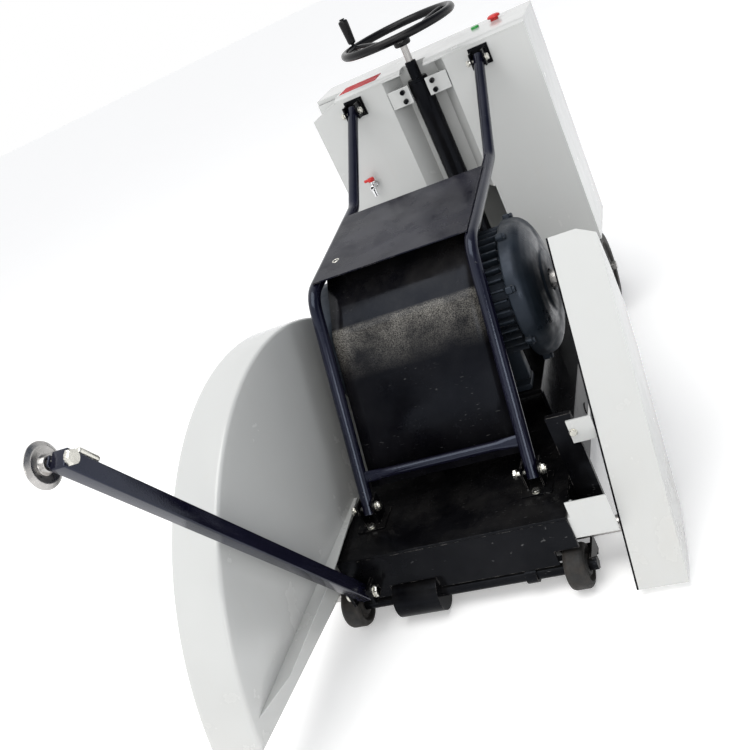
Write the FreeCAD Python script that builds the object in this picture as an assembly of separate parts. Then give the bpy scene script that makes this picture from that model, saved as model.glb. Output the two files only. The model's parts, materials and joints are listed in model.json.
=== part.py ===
import FreeCAD, Part
import math
import os

# Walk-behind concrete saw with an electric motor.  Millimetres, +Z up, the operator stands at +Y,
# the blade guard is on the -X side and the belt cover on the +X side.  Ground is z = 0.
# Drawn with y = 0 at the frame's front plate; saved with the origin under the middle of the whole.

# ---- driving dimensions -------------------------------------------------------------------------
FRAME_HALF = 260.0          # half width of the frame
FRAME_LEN = 1400.0          # length of the frame
FRAME_LOW = 65.0            # underside of the side channels
DECK_TOP = 181.0            # top of the deck plate
SHEET = 6.0                 # frame plate thickness
SPINDLE = (64.0, 90.0)      # blade spindle axis, y and z
MOTOR = (478.0, 462.0)      # motor axis, y and z
PULLEY_R = 42.0             # both pulleys, so the drive is one to one
GUARD_C = (161.0, -10.0)    # centre of the guard arc
GUARD_R = 646.0             # outer radius of the guard
GUARD_IN = -269.0           # guard side panel next to the frame
GUARD_OUT = -378.0          # outer guard panel
TUBE_R = 14.5               # bail tubes
BAIL_X = 193.0              # half spacing of the bail tubes
BAIL = [(118.0, 205.0), (366.0, 646.0), (808.0, 680.0), (1117.0, 863.0)]
PANEL_Y = 1148.0            # front panel of the console
BODY_HALF = 331.0           # half width of the console
BODY_LOW = 245.0
BODY_TOP = 893.0
BODY_REAR = 1400.0
COLUMN_Y = 1173.0           # lift column axis
WHEEL_Z = 1000.0            # handwheel rim height
RIM_R = 158.0
CARRIAGE = (480.0, 110.0)   # pivot of the front wheel carriage
CRANK = (1125.0, 110.0)     # pivot of the lift crank
LEVER = 52.0                # lever arms of carriage and crank
AXLE = (8.0, 47.0)          # front axle
FRONT_R = 47.0
REAR_AXLE = (1230.0, 115.0)
REAR_R = 115.0
ARM_PIVOT = (-22.0, 106.0)  # guide arm hinge
ARM_X = -222.0
ARM_LEN = 875.0
ARM_LIFT = 58.4             # degrees above the horizontal, as the arm is parked
COVER_IN = 353.0            # open side of the belt cover
COVER_STEP = 412.0
COVER_OUT = 449.0
COVER_FOOT = (-56.0, 18.0)  # front bottom corner of the cover
COVER_ALONG = (0.5497, 0.8354)
PULLEY_X = (364.0, 404.0)
TAP = (-237.0, 636.0)       # water tap, x and z
COLUMN_R = 30.0             # lift column
BELT_X = (372.0, 384.0, 396.0)


# ---- helpers ------------------------------------------------------------------------------------
def vec(x, y, z):
    return FreeCAD.Vector(x, y, z)


def block(x0, x1, y0, y1, z0, z1):
    return Part.makeBox(x1 - x0, y1 - y0, z1 - z0, vec(x0, y0, z0))


def rod_x(r, x0, x1, centre):
    return Part.makeCylinder(r, x1 - x0, vec(x0, centre[0], centre[1]), vec(1, 0, 0))


def rod_y(r, y0, y1, x, z):
    return Part.makeCylinder(r, y1 - y0, vec(x, y0, z), vec(0, 1, 0))


def rod_z(r, z0, z1, x, y):
    return Part.makeCylinder(r, z1 - z0, vec(x, y, z0))


def ring_x(ro, ri, x0, x1, centre):
    return rod_x(ro, x0, x1, centre).cut(rod_x(ri, x0 - 1, x1 + 1, centre))


def wire_x(points, x):
    """Closed outline through y,z points in the plane x."""
    return Part.makePolygon([vec(x, y, z) for y, z in points] + [vec(x, *points[0])])


def prism_x(points, x0, x1):
    return Part.Face(wire_x(points, x0)).extrude(vec(x1 - x0, 0, 0))


def prism_z(points, z0, z1):
    wire = Part.makePolygon([vec(x, y, z0) for x, y in points] + [vec(*points[0], z0)])
    return Part.Face(wire).extrude(vec(0, 0, z1 - z0))


def prism_y(points, y0, y1):
    wire = Part.makePolygon([vec(x, y0, z) for x, z in points] + [vec(points[0][0], y0, points[0][1])])
    return Part.Face(wire).extrude(vec(0, y1 - y0, 0))


def fuse(shapes):
    return shapes[0].multiFuse(shapes[1:]).removeSplitter() if len(shapes) > 1 else shapes[0]


def mirror(shape):
    return shape.mirror(vec(0, 0, 0), vec(1, 0, 0))


def hexagon(axis, across, start, length, at):
    """A hexagonal prism along x, y or z; across is the spanner size."""
    r = across / math.sqrt(3)
    points = []
    for k in range(6):
        a = math.radians(60 * k + 30)
        u, v = r * math.cos(a), r * math.sin(a)
        spots = {"x": (start, at[0] + u, at[1] + v), "y": (at[0] + u, start, at[1] + v),
                 "z": (at[0] + u, at[1] + v, start)}
        points.append(vec(*spots[axis]))
    way = {"x": vec(length, 0, 0), "y": vec(0, length, 0), "z": vec(0, 0, length)}[axis]
    return Part.Face(Part.makePolygon(points + [points[0]])).extrude(way)


def bent_tube(points, bend, r_out, r_in):
    """A round tube along a polyline whose corners are rounded to the bend radius."""
    pts = [vec(*p) for p in points]
    edges = []
    start = pts[0]
    for a, b, c in zip(pts, pts[1:], pts[2:]):
        u = (a - b).normalize()
        w = (c - b).normalize()
        half = u.getAngle(w) / 2
        cut = bend / math.tan(half)
        middle = b + (u + w).normalize() * (bend / math.sin(half) - bend)
        edges.append(Part.makeLine(start, b + u * cut))
        edges.append(Part.Arc(b + u * cut, middle, b + w * cut).toShape())
        start = b + w * cut
    edges.append(Part.makeLine(start, pts[-1]))
    path = Part.Wire(edges)
    way = (pts[1] - pts[0]).normalize()
    solids = []
    for r in (r_out, r_in):
        loop = Part.Wire(Part.makeCircle(r, pts[0], way))
        solids.append(path.makePipeShell([loop], True, False))
    return solids[0].cut(solids[1])


def along_cover(along, normal):
    """Point on the belt cover's side: distance along the front edge and distance behind it."""
    dy, dz = COVER_ALONG
    return (COVER_FOOT[0] + along * dy + normal * dz, COVER_FOOT[1] + along * dz - normal * dy)


def along_bail(along, behind):
    """Point in the lower bail tubes' plane, measured up from their lower ends and to the rear."""
    (y0, z0), (y1, z1) = BAIL[0], BAIL[1]
    size = math.hypot(y1 - y0, z1 - z0)
    dy, dz = (y1 - y0) / size, (z1 - z0) / size
    return (y0 + along * dy + behind * dz, z0 + along * dz - behind * dy)


def belt_outline(r, x0, x1):
    """Solid enclosed by a belt running round two equal pulleys."""
    (ya, za), (yb, zb) = SPINDLE, MOTOR
    size = math.hypot(yb - ya, zb - za)
    ny, nz = -(zb - za) / size * r, (yb - ya) / size * r
    flat = [(ya + ny, za + nz), (yb + ny, zb + nz), (yb - ny, zb - nz), (ya - ny, za - nz)]
    return fuse([rod_x(r, x0, x1, SPINDLE), rod_x(r, x0, x1, MOTOR), prism_x(flat, x0, x1)])


def grooved_pulley(centre, bore):
    pulley = ring_x(PULLEY_R, bore, PULLEY_X[0], PULLEY_X[1], centre)
    for x in BELT_X:
        pulley = pulley.cut(ring_x(PULLEY_R + 1, PULLEY_R - 9.3, x - 5.3, x + 5.3, centre))
    return pulley


parts = {}

# ---- frame and deck -----------------------------------------------------------------------------
side = block(FRAME_HALF - SHEET, FRAME_HALF, 0, FRAME_LEN, FRAME_LOW, DECK_TOP - SHEET)
side = side.fuse(block(214, FRAME_HALF - SHEET, SHEET, FRAME_LEN, DECK_TOP - 2 * SHEET, DECK_TOP - SHEET))
side = side.cut(block(250, 262, -1, 92, 60, 116))
side = side.cut(block(210, 262, SHEET, 110, 160, 176)).fuse(block(254, 260, 0, 110, 116, 175))
side = side.cut(rod_x(14.06, 250, 262, CARRIAGE)).cut(rod_x(14.06, 250, 262, CRANK))
side = side.cut(rod_x(12.5, 250, 262, REAR_AXLE))
front = block(-FRAME_HALF, FRAME_HALF, 0, SHEET, FRAME_LOW, DECK_TOP - SHEET)
front = front.cut(block(208, 261, -1, 7, 60, 102)).cut(block(-261, -238, -1, 7, 60, 102))
front = front.cut(block(-169, -57, -1, 7, 60, 92.5))
rear = block(-FRAME_HALF, FRAME_HALF, FRAME_LEN - SHEET, FRAME_LEN, FRAME_LOW, DECK_TOP - SHEET)
members = [block(-255, 255, y, y + 40, 68, 106) for y in (300, 880)]
lug_ears = [block(x0, x1, -40, 0, 86, 126).cut(rod_x(8.05, x0 - 1, x1 + 1, ARM_PIVOT))
            for x0, x1 in ((-248.5, -241.5), (-202, -194))]
post = block(FRAME_HALF, 312, 128, 140, 100, 330)
risers = [block(x, x + 60, 1160, 1390, DECK_TOP, BODY_LOW) for x in (-240, 180)]
parts["frame"] = fuse([side, mirror(side), front, rear, post] + members + lug_ears)
parts["console_risers"] = Part.makeCompound(risers)

deck = block(-FRAME_HALF, FRAME_HALF, 0, FRAME_LEN, DECK_TOP - SHEET, DECK_TOP)
parts["deck_plate"] = deck.cut(rod_z(24, 170, 190, 0, COLUMN_Y))

# ---- blade spindle ------------------------------------------------------------------------------
blocks = []
bearings = []
for x in (-190.0, 190.0):
    web = block(x - 22, x + 22, 34, 94, 90, 165)
    foot = block(x - 22, x + 22, 12, 110, 163, DECK_TOP - SHEET)
    shape = fuse([rod_x(42, x - 22, x + 22, SPINDLE), web, foot])
    blocks.append(shape.cut(rod_x(36, x - 23, x + 23, SPINDLE)))
    bearings.append(ring_x(35.97, 17.55, x - 10, x + 10, SPINDLE))
parts["spindle_blocks"] = Part.makeCompound(blocks)
shaft = rod_x(17.5, -318, 404, SPINDLE)
shaft = fuse([shaft, rod_x(12, -352, -318, SPINDLE), rod_x(12, 404, 436, SPINDLE)])
parts["spindle_shaft"] = shaft
inner = ring_x(55, 17.5, -306, -300, SPINDLE).fuse(ring_x(30, 17.5, -300, -297, SPINDLE))
inner = ring_x(55, 17.5, -318, -306, SPINDLE).fuse(inner).removeSplitter()
parts["blade_flanges"] = Part.makeCompound([inner, ring_x(55, 12, -330, -318, SPINDLE)])
nut = hexagon("x", 36, -347, 17, SPINDLE).cut(rod_x(12, -350, -328, SPINDLE))
end_nut = hexagon("x", 36, 404, 14, SPINDLE).cut(rod_x(12, 400, 420, SPINDLE))
parts["spindle_pulley"] = grooved_pulley(SPINDLE, 17.5)
parts["spindle_nuts"] = Part.makeCompound([nut, end_nut])

# ---- motor --------------------------------------------------------------------------------------
parts["motor_stand"] = fuse([block(-90, 220, 330, 626, 270, 282), block(-90, -82, 340, 616, DECK_TOP, 270),
                             block(212, 220, 340, 616, DECK_TOP, 270)])
my, mz = MOTOR
housing = [rod_x(128, -110, 230, MOTOR)]
for k in range(40):
    fin = block(-104, 226, my + 120, my + 150, mz - 2, mz + 2)
    fin.rotate(vec(0, my, mz), vec(1, 0, 0), 9 * k)
    if not 24 < k < 36:
        housing.append(fin)
for x in (-70, 160):
    for sign in (-1, 1):
        y0, y1 = sorted((my + sign * 80, my + sign * 140))
        housing.append(block(x, x + 40, y0, y1, 282, 296))
        y0, y1 = sorted((my + sign * 80, my + sign * 112))
        housing.append(block(x, x + 40, y0, y1, 296, 400))
parts["motor_housing"] = fuse(housing).cut(rod_x(118, -111, 231, MOTOR))
bell_profile = [(230, 40), (230, 156), (233, 160), (258, 158), (274, 148), (287, 124),
                (296, 90), (300, 58), (300, 24), (262, 24), (262, 40)]
wire = Part.makePolygon([vec(x, my + r, mz) for x, r in bell_profile + bell_profile[:1]])
bell = Part.Face(wire).revolve(vec(0, my, mz), vec(1, 0, 0), 360)
for k in range(8):
    lug = block(231, 249, my + 154, my + 170, mz - 9, mz + 9)
    lug.rotate(vec(0, my, mz), vec(1, 0, 0), 45 * k + 20)
    bell = bell.fuse(lug)
parts["motor_drive_bell"] = bell.removeSplitter()
parts["motor_rear_bell"] = ring_x(150, 42, -130, -110, MOTOR).fuse(ring_x(50, 24, -134, -130, MOTOR))
cowl = rod_x(153, -225, -130, MOTOR).cut(rod_x(150.2, -222, -129, MOTOR))
for k in range(12):
    slot = block(-226, -221, my + 60, my + 125, mz - 8, mz + 8)
    slot.rotate(vec(0, my, mz), vec(1, 0, 0), 30 * k)
    cowl = cowl.cut(slot)
parts["motor_fan_cowl"] = cowl
parts["motor_terminal_box"] = block(20, 150, 600, 690, 420, 520).cut(rod_x(150.1, 0, 170, MOTOR))
bearings.append(ring_x(39.97, 21.05, 242, 261, MOTOR))
bearings.append(ring_x(41.97, 21.05, -129, -112, MOTOR))
parts["ball_bearings"] = Part.makeCompound(bearings)
motor_shaft = fuse([rod_x(21, -200, 364, MOTOR), rod_x(19, 364, 404, MOTOR)])
parts["motor_shaft"] = motor_shaft
parts["motor_rotor"] = ring_x(96, 21, -60, 180, MOTOR)
fan = [ring_x(34, 21, -180, -150, MOTOR), ring_x(120, 21, -154, -150, MOTOR)]
for k in range(8):
    blade = block(-180, -152, my + 30, my + 120, mz - 2, mz + 2)
    blade.rotate(vec(0, my, mz), vec(1, 0, 0), 45 * k)
    fan.append(blade)
parts["motor_fan"] = fuse(fan)
parts["motor_pulley"] = grooved_pulley(MOTOR, 19)

# ---- belts and belt cover -----------------------------------------------------------------------
loops = [belt_outline(PULLEY_R + 1, x - 5, x + 5).cut(belt_outline(PULLEY_R - 9, x - 6, x + 6)) for x in BELT_X]
parts["drive_belts"] = Part.makeCompound(loops)
deep = [(0, 0), (712, 0), (716, 120), (712, 258), (600, 262), (380, 200), (135, 160), (37, 76)]
thin = [(0, 0), (693, 0), (640, 60), (560, 125), (460, 150), (380, 152), (135, 155), (37, 76)]


def cover_solid(gap, x0, x1, x2):
    """Body filling the cover, shrunk by gap; straight from x0 to x1 then tapered to x2."""
    outlines = []
    for points in (deep, thin):
        mean_a = sum(p[0] for p in points) / len(points)
        mean_n = sum(p[1] for p in points) / len(points)
        outlines.append([along_cover(a + (mean_a - a) * gap / 300, n + (mean_n - n) * gap / 80)
                         for a, n in points])
    straight = prism_x(outlines[0], x0, x1)
    taper = Part.makeLoft([wire_x(outlines[0], x1), wire_x(outlines[1], x2)], True, True)
    return straight.fuse(taper)


cover = cover_solid(0, COVER_IN, COVER_STEP, COVER_OUT)
parts["belt_cover"] = cover.cut(cover_solid(2.5, COVER_IN - 1, COVER_STEP, COVER_OUT - 2.5))
back = prism_x([along_cover(a, n) for a, n in deep], COVER_IN - 4, COVER_IN)
parts["belt_backplate"] = back.cut(rod_x(26, 340, 360, SPINDLE)).cut(rod_x(30, 340, 360, MOTOR))
low = fuse([block(FRAME_HALF + 6, COVER_IN - 4, 4, 8, 122, 212), block(FRAME_HALF, FRAME_HALF + 6, 4, 60, 122, 175)])
high = fuse([block(298, 344, 122, 128, 262, 316), block(344, 349, 122, 170, 262, 316)])
parts["cover_brackets"] = Part.makeCompound([low, high])

# ---- blade guard --------------------------------------------------------------------------------
cy, cz = GUARD_C
above = [(-600, 96 + 0.13 * 761), (900, 96 - 0.13 * 739), (900, 800), (-600, 800)]
guard = rod_x(GUARD_R, GUARD_OUT, GUARD_IN, GUARD_C).common(prism_x(above, GUARD_OUT - 1, GUARD_IN + 1))
guard = guard.cut(rod_x(GUARD_R - 2.5, GUARD_OUT + 2, GUARD_IN - 2, GUARD_C))
parts["blade_guard"] = guard.cut(rod_x(24, GUARD_IN - 5, GUARD_IN + 5, SPINDLE))
flange = prism_z([(-269, -421), (-239, -330), (-239, -54), (-250, 106), (-261, 213), (-269, 213)], 0, 3)
flange.rotate(vec(0, 0, 0), vec(1, 0, 0), -2.35)
flange.translate(vec(0, 0, 197))
mounting = fuse([block(-269, -260, 130, 380, 122, 174), block(-269, -261.5, 150, 212, 170, 190)])
parts["guard_bracket"] = flange.fuse(mounting).removeSplitter()

# ---- bail tubes, plate and motor front cover ------------------------------------------------------
hole_low = along_bail(14, 0)
hole_top = (BAIL[3][0] - 10, BAIL[3][1] - 6)
tube = bent_tube([(BAIL_X, y, z) for y, z in BAIL], 70, TUBE_R, TUBE_R - 2.5)
tube = tube.cut(rod_x(6.1, 170, 220, hole_low)).cut(rod_x(5.1, 170, 220, hole_top))
parts["bail_right"] = tube
parts["bail_left"] = mirror(tube)
slope = (BAIL[2][1] - BAIL[1][1]) / (BAIL[2][0] - BAIL[1][0])
top0 = BAIL[1][1] + slope * 22 + 14.7
top1 = BAIL[1][1] + slope * 354 + 14.7
plate_outline = [(388, top0), (720, top1), (720, top1 - 16), (723, top1 - 16), (723, top1 + 3), (388, top0 + 3)]
plate = prism_x(plate_outline, -190, 190)
plate = plate.cut(block(-191, -177, 715, 725, top1 - 20, top1)).cut(block(177, 191, 715, 725, top1 - 20, top1))
parts["bail_plate"] = plate.cut(rod_z(6, 600, 720, -150, 470))
parts["cross_tube"] = rod_x(11, -BAIL_X + TUBE_R, BAIL_X - TUBE_R, along_bail(82, 0))
face = [along_bail(56, 14.5), along_bail(408, 14.5), along_bail(420, 22)]
ridge = face[-1]
hood_end = (456.0, 659.0)
outline = face + [hood_end, (hood_end[0] + 1.7, hood_end[1] - 1.8), (ridge[0] + 1.8, ridge[1] - 2.6),
                  along_bail(407, 17), along_bail(56, 17)]
front_cover = prism_x(outline, -178, 178)
for x in (-178, 175.5):
    cheek = [along_bail(56, 16), along_bail(405, 16), along_bail(380, 30), along_bail(56, 30)]
    front_cover = front_cover.fuse(prism_x(cheek, x, x + 2.5))
parts["motor_front_cover"] = front_cover.removeSplitter()
clevises = []
for x in (-BAIL_X, BAIL_X):
    low = [block(x - 20, x - 16, 104, 150, DECK_TOP + 4, 236), block(x + 16, x + 20, 104, 150, DECK_TOP + 4, 236),
           block(x - 34, x + 34, 86, 158, DECK_TOP, DECK_TOP + 4)]
    clevises.append(fuse(low).cut(rod_x(6.05, x - 21, x + 21, hole_low)))
    high = [block(x - 20, x - 16, 1092, PANEL_Y - 4, 838, 880), block(x + 16, x + 20, 1092, PANEL_Y - 4, 838, 880),
            block(x - 28, x + 28, PANEL_Y - 4, PANEL_Y, 832, 886)]
    clevises.append(fuse(high).cut(rod_x(5.05, x - 21, x + 21, hole_top)))
parts["clevis_brackets"] = Part.makeCompound(clevises)

# ---- fasteners ----------------------------------------------------------------------------------
zinc = []
for x in (-BAIL_X, BAIL_X):
    low = [rod_x(6, x - 40, x + 31, hole_low), hexagon("x", 19, x - 41, 8, hole_low), hexagon("x", 19, x + 20, 8, hole_low)]
    high = [rod_x(5, x - 34, x + 28, hole_top), hexagon("x", 15, x - 35, 6, hole_top), hexagon("x", 15, x + 20, 6, hole_top)]
    zinc += [fuse(low), fuse(high), hexagon("z", 16, DECK_TOP + 4, 7, (x, 95.5))]
zinc += [hexagon("y", 14, 116, 6, (306, 289))]
parts["zinc_bolts"] = Part.makeCompound(zinc)
pivot_bolt = fuse([rod_x(8, -257, -184, ARM_PIVOT), hexagon("x", 24, -258.5, 10, ARM_PIVOT),
                   hexagon("x", 24, -194, 10, ARM_PIVOT)])
parts["guide_arm_bolt"] = pivot_bolt

# ---- console ------------------------------------------------------------------------------------
footprint = [(-BODY_HALF, PANEL_Y), (-93, PANEL_Y), (-55, 1208), (55, 1208), (93, PANEL_Y),
             (BODY_HALF, PANEL_Y), (BODY_HALF, BODY_REAR), (-BODY_HALF, BODY_REAR)]
inside = [(-BODY_HALF + 2, PANEL_Y + 2), (-94.4, PANEL_Y + 2), (-56.4, 1210), (56.4, 1210), (94.4, PANEL_Y + 2),
          (BODY_HALF - 2, PANEL_Y + 2), (BODY_HALF - 2, BODY_REAR - 2), (-BODY_HALF + 2, BODY_REAR - 2)]
shell = prism_z(footprint, BODY_LOW, BODY_TOP).cut(prism_z(inside, BODY_LOW + 2, BODY_TOP + 1))
shell = shell.cut(block(-98, 98, PANEL_Y - 1, 1215, BODY_LOW + 30, 505))
corner = prism_y([(-332, 868), (-250, 895), (-332, 895)], PANEL_Y - 1, PANEL_Y + 90)
shell = shell.cut(corner).cut(rod_y(9.1, PANEL_Y - 1, PANEL_Y + 3, *TAP))
lid_plan = [(-246, PANEL_Y), (-36, PANEL_Y), (-36, 1207), (36, 1207), (36, PANEL_Y), (BODY_HALF, PANEL_Y),
            (BODY_HALF, BODY_REAR), (-BODY_HALF, BODY_REAR), (-BODY_HALF, PANEL_Y + 92), (-246, PANEL_Y + 92)]
lid = prism_z(lid_plan, BODY_TOP, BODY_TOP + 12)
wedge = prism_x([(PANEL_Y - 1, BODY_TOP + 4), (PANEL_Y + 26, BODY_TOP + 13), (PANEL_Y - 1, BODY_TOP + 13)], -332, 332)
lid = lid.cut(wedge).cut(block(-236, -118, PANEL_Y + 34, PANEL_Y + 112, BODY_TOP + 8, BODY_TOP + 20))
corner_sheet = prism_y([(-331, 866.5), (-246, 894.5), (-246, 897), (-331, 869)], PANEL_Y, PANEL_Y + 88)
for x in (170.0, 230.0):
    lid = lid.cut(rod_z(12.1, BODY_TOP - 1, BODY_TOP + 13, x, 1330))
parts["console_lid"] = lid
corner_wall = prism_y([(-331, 867), (-331, 893), (-248, 893)], PANEL_Y + 86, PANEL_Y + 88.5)
parts["console_body"] = shell.fuse(corner_sheet).fuse(corner_wall).cut(lid).removeSplitter()
parts["console_insert"] = block(-236, -118, PANEL_Y + 34, PANEL_Y + 112, BODY_TOP + 8, BODY_TOP + 13)
parts["start_button"] = rod_z(12, BODY_TOP + 4, BODY_TOP + 18, 170, 1330)
stop = rod_z(12, BODY_TOP + 4, BODY_TOP + 18, 230, 1330).fuse(rod_z(19, BODY_TOP + 18, BODY_TOP + 28, 230, 1330))
parts["stop_button"] = stop.removeSplitter()
tank = block(-322, -112, 1216, 1390, 300, 640)
parts["water_tank"] = tank.cut(block(-319, -115, 1219, 1387, 303, 637)).cut(rod_z(25, 630, 650, -200, 1320))
tx, tz = TAP
tap = [rod_y(9, 1108, 1170, tx, tz), rod_z(8, tz - 26, tz, tx, 1116), rod_z(10, tz - 10, tz, tx, 1116),
       rod_z(7, tz, tz + 16, tx, 1126)]
parts["water_tap"] = fuse(tap)
lever = [rod_z(11, tz + 16.2, tz + 28, tx, 1126), block(tx - 22, tx, 1122, 1130, tz + 18, tz + 26)]
parts["tap_lever"] = fuse(lever)
grip_path = [(-250, BODY_REAR, 700), (-250, 1580, 800), (250, 1580, 800), (250, BODY_REAR, 700)]
handle = bent_tube(grip_path, 60, 14, 11.5)
pads = [block(x - 30, x + 30, BODY_REAR, BODY_REAR + 5, 665, 735) for x in (-250, 250)]
handle = handle.cut(block(-400, 400, 1300, BODY_REAR, 600, 800))
parts["rear_handle"] = fuse([handle] + pads)

# ---- lift ---------------------------------------------------------------------------------------
column = rod_z(COLUMN_R, DECK_TOP, 868, 0, COLUMN_Y).fuse(rod_z(16, 868, 916, 0, COLUMN_Y))
column = column.cut(rod_z(22, DECK_TOP - 1, 858, 0, COLUMN_Y)).cut(rod_z(12.05, 857, 905.2, 0, COLUMN_Y))
parts["lift_column"] = column.cut(rod_z(10.05, 900, 920, 0, COLUMN_Y)).removeSplitter()
clamps = []
for sign in (-1, 1):
    pad = [(sign * 26, 1153), (sign * 90, 1150), (sign * 90, 1146), (sign * 62, 1144), (sign * 26, 1144)]
    clamp = prism_z(pad, 812, 862).cut(rod_z(COLUMN_R + 0.1, 800, 870, 0, COLUMN_Y))
    tongue = [(sign * 86, 1152.5), (sign * 60, 1193.5), (sign * 57, 1192), (sign * 80, 1150), (sign * 86, 1150)]
    clamps.append(clamp.fuse(prism_z(tongue, 812, 862)).removeSplitter())
parts["column_clamps"] = Part.makeCompound(clamps)
socket = [rod_y(7, 1134, 1144, sign * 46, z) for sign in (-1, 1) for z in (824, 850)]
parts["clamp_screws"] = Part.makeCompound(socket)
parts["lift_screw"] = fuse([rod_z(12, 200, 905, 0, COLUMN_Y), rod_z(10, 905, 992, 0, COLUMN_Y)])
rim = Part.makeTorus(RIM_R, 11, vec(0, COLUMN_Y, WHEEL_Z))
hub = rod_z(24, 960, 992, 0, COLUMN_Y).cut(rod_z(10, 950, 1000, 0, COLUMN_Y))
spokes = []
for k in range(3):
    a = math.radians(160.6 + 120 * k)
    start = vec(18 * math.cos(a), COLUMN_Y + 18 * math.sin(a), 978)
    stop_at = vec(RIM_R * math.cos(a), COLUMN_Y + RIM_R * math.sin(a), WHEEL_Z)
    spoke = Part.makeCylinder(8, (stop_at - start).Length, start, stop_at - start)
    spokes.append(spoke.cut(rod_z(10, 950, 1000, 0, COLUMN_Y)))
knob_xy = (RIM_R * math.cos(math.radians(160.6)), COLUMN_Y + RIM_R * math.sin(math.radians(160.6)))
pin = rod_z(5, WHEEL_Z, 1084, *knob_xy).fuse(rod_z(8, 1082, 1086, *knob_xy))
parts["handwheel"] = fuse([rim, hub, pin] + spokes)
knob = Part.makeCone(11, 14, 60, vec(*knob_xy, 1014)).fuse(rod_z(14, 1074, 1081, *knob_xy))
parts["crank_knob"] = knob.cut(rod_z(5.05, 1000, 1100, *knob_xy))
nut_tube = rod_z(20, 92, 215, 0, COLUMN_Y).fuse(rod_z(21.93, 215, 255, 0, COLUMN_Y))
nut_tube = nut_tube.cut(rod_z(12.05, 100, 260, 0, COLUMN_Y))
parts["lift_nut"] = nut_tube.fuse(block(-40, 40, 1163, 1183, 90, 99)).removeSplitter()
ey, ez = CRANK
crank = [rod_x(14, -262, 262, CRANK), block(-66, -56, ey - 12, ey + 12, ez, ez + LEVER)]
crank.append(rod_x(12, -66, -56, (ey, ez + LEVER)))
for x in (-34, 24):
    crank.append(block(x, x + 10, ey, ey + 48, ez - 9, ez + 9))
parts["lift_crank"] = fuse(crank).cut(rod_x(7.05, -70, -50, (ey, ez + LEVER)))
py, pz = CARRIAGE
rod_bar = block(-54, -42, py - 9, ey + 9, pz + LEVER - 8, pz + LEVER + 8)
pins = [rod_x(7, -70, -54, (y, pz + LEVER)) for y in (py, ey)]
parts["push_rod"] = fuse([rod_bar] + pins)

# ---- front carriage and wheels --------------------------------------------------------------------
carriage = [rod_x(14, -262, 262, CARRIAGE), rod_x(42, -166, -60, AXLE)]
arm = [(AXLE[0], 30), (400, 30), (490, 92), (496, 118), (470, 126), (392, 62), (AXLE[0], 62)]
carriage += [prism_x(arm, -130, -100), prism_x(arm, 130, 154)]
carriage += [rod_x(18, 130, 154, AXLE), block(-110, 140, 380, 410, 36, 56)]
carriage += [block(-66, -56, py - 12, py + 12, pz, pz + LEVER), rod_x(12, -66, -56, (py, pz + LEVER))]
carriage += [block(140, 272, 60, 78, 22, 42), block(267, 272, AXLE[0], 78, 30, 64)]
body = fuse(carriage).cut(rod_x(7.05, -70, -50, (py, pz + LEVER)))
parts["front_carriage"] = body.cut(rod_x(12.5, -170, 280, AXLE))
parts["front_axle"] = fuse([rod_x(12.5, -297, 278, AXLE), hexagon("x", 24, -305, 8, AXLE), hexagon("x", 24, 273, 8, AXLE)])


def tyre(r, hub_r, bore, x0, x1, centre):
    """A solid rubber tyre on a hub: rounded shoulders, a thinner web, a bushed bore."""
    edge = 8.0
    points = [(x0, bore), (x0, hub_r), (x0 + 9, hub_r), (x0 + 9, r * 0.68), (x0, r * 0.72), (x0, r - edge),
              (x0 + edge * 0.3, r - edge * 0.3), (x0 + edge, r), (x1 - edge, r), (x1 - edge * 0.3, r - edge * 0.3),
              (x1, r - edge), (x1, r * 0.72), (x1 - 9, r * 0.68), (x1 - 9, hub_r), (x1, hub_r), (x1, bore)]
    outline = Part.makePolygon([vec(x, centre[0] + q, centre[1]) for x, q in points + points[:1]])
    return Part.Face(outline).revolve(vec(0, centre[0], centre[1]), vec(1, 0, 0), 360)


parts["front_wheel_left"] = tyre(FRONT_R, 22, 12.55, -295, -249, AXLE)
parts["front_wheel_right"] = tyre(FRONT_R, 22, 12.55, 218, 264, AXLE)
parts["rear_axle"] = fuse([rod_x(12.5, -326, 326, REAR_AXLE), hexagon("x", 24, -334, 8, REAR_AXLE),
                           hexagon("x", 24, 326, 8, REAR_AXLE)])
parts["rear_wheel_left"] = tyre(REAR_R, 30, 12.55, -318, -266, REAR_AXLE)
parts["rear_wheel_right"] = tyre(REAR_R, 30, 12.55, 266, 318, REAR_AXLE)

# ---- guide arm ----------------------------------------------------------------------------------
ay, az = ARM_PIVOT
square = block(ARM_X - 15, ARM_X + 15, ay - ARM_LEN + 12, ay + 16, az - 15, az + 15)
square = square.cut(block(ARM_X - 12.5, ARM_X + 12.5, ay - ARM_LEN, ay + 20, az - 12.5, az + 12.5))
sleeve = rod_x(13, ARM_X - 15, ARM_X + 15, ARM_PIVOT)
tip = (ay - ARM_LEN + 18, az)
bolt = fuse([rod_x(6, -262, ARM_X + 22, tip), rod_x(9, ARM_X - 20, ARM_X - 15, tip), hexagon("x", 22, ARM_X + 15, 11, tip),
             hexagon("x", 19, -266, 6, tip)])
arm_shape = fuse([square, sleeve, bolt]).cut(rod_x(8.05, ARM_X - 16, ARM_X + 16, ARM_PIVOT))
disc_profile = [(-260, 6.05), (-260, 12), (-256, 14), (-253, 27), (-257, 35), (-255, 36), (-250, 28),
                (-252, 15), (-243, 12), (-243, 6.05)]
outline = Part.makePolygon([vec(x, tip[0] + r, tip[1]) for x, r in disc_profile + disc_profile[:1]])
disc = Part.Face(outline).revolve(vec(0, *tip), vec(1, 0, 0), 360)
clip = rod_z(4, az + 14, az + 24, ARM_X, ay - ARM_LEN + 70).fuse(rod_y(6, ay - ARM_LEN + 44, ay - ARM_LEN + 84, ARM_X, az + 25))
arm_shape = arm_shape.fuse(clip)
for shape in (arm_shape, disc):
    shape.rotate(vec(0, ay, az), vec(1, 0, 0), -ARM_LIFT)
parts["guide_arm"] = arm_shape
parts["guide_wheel"] = disc

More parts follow.
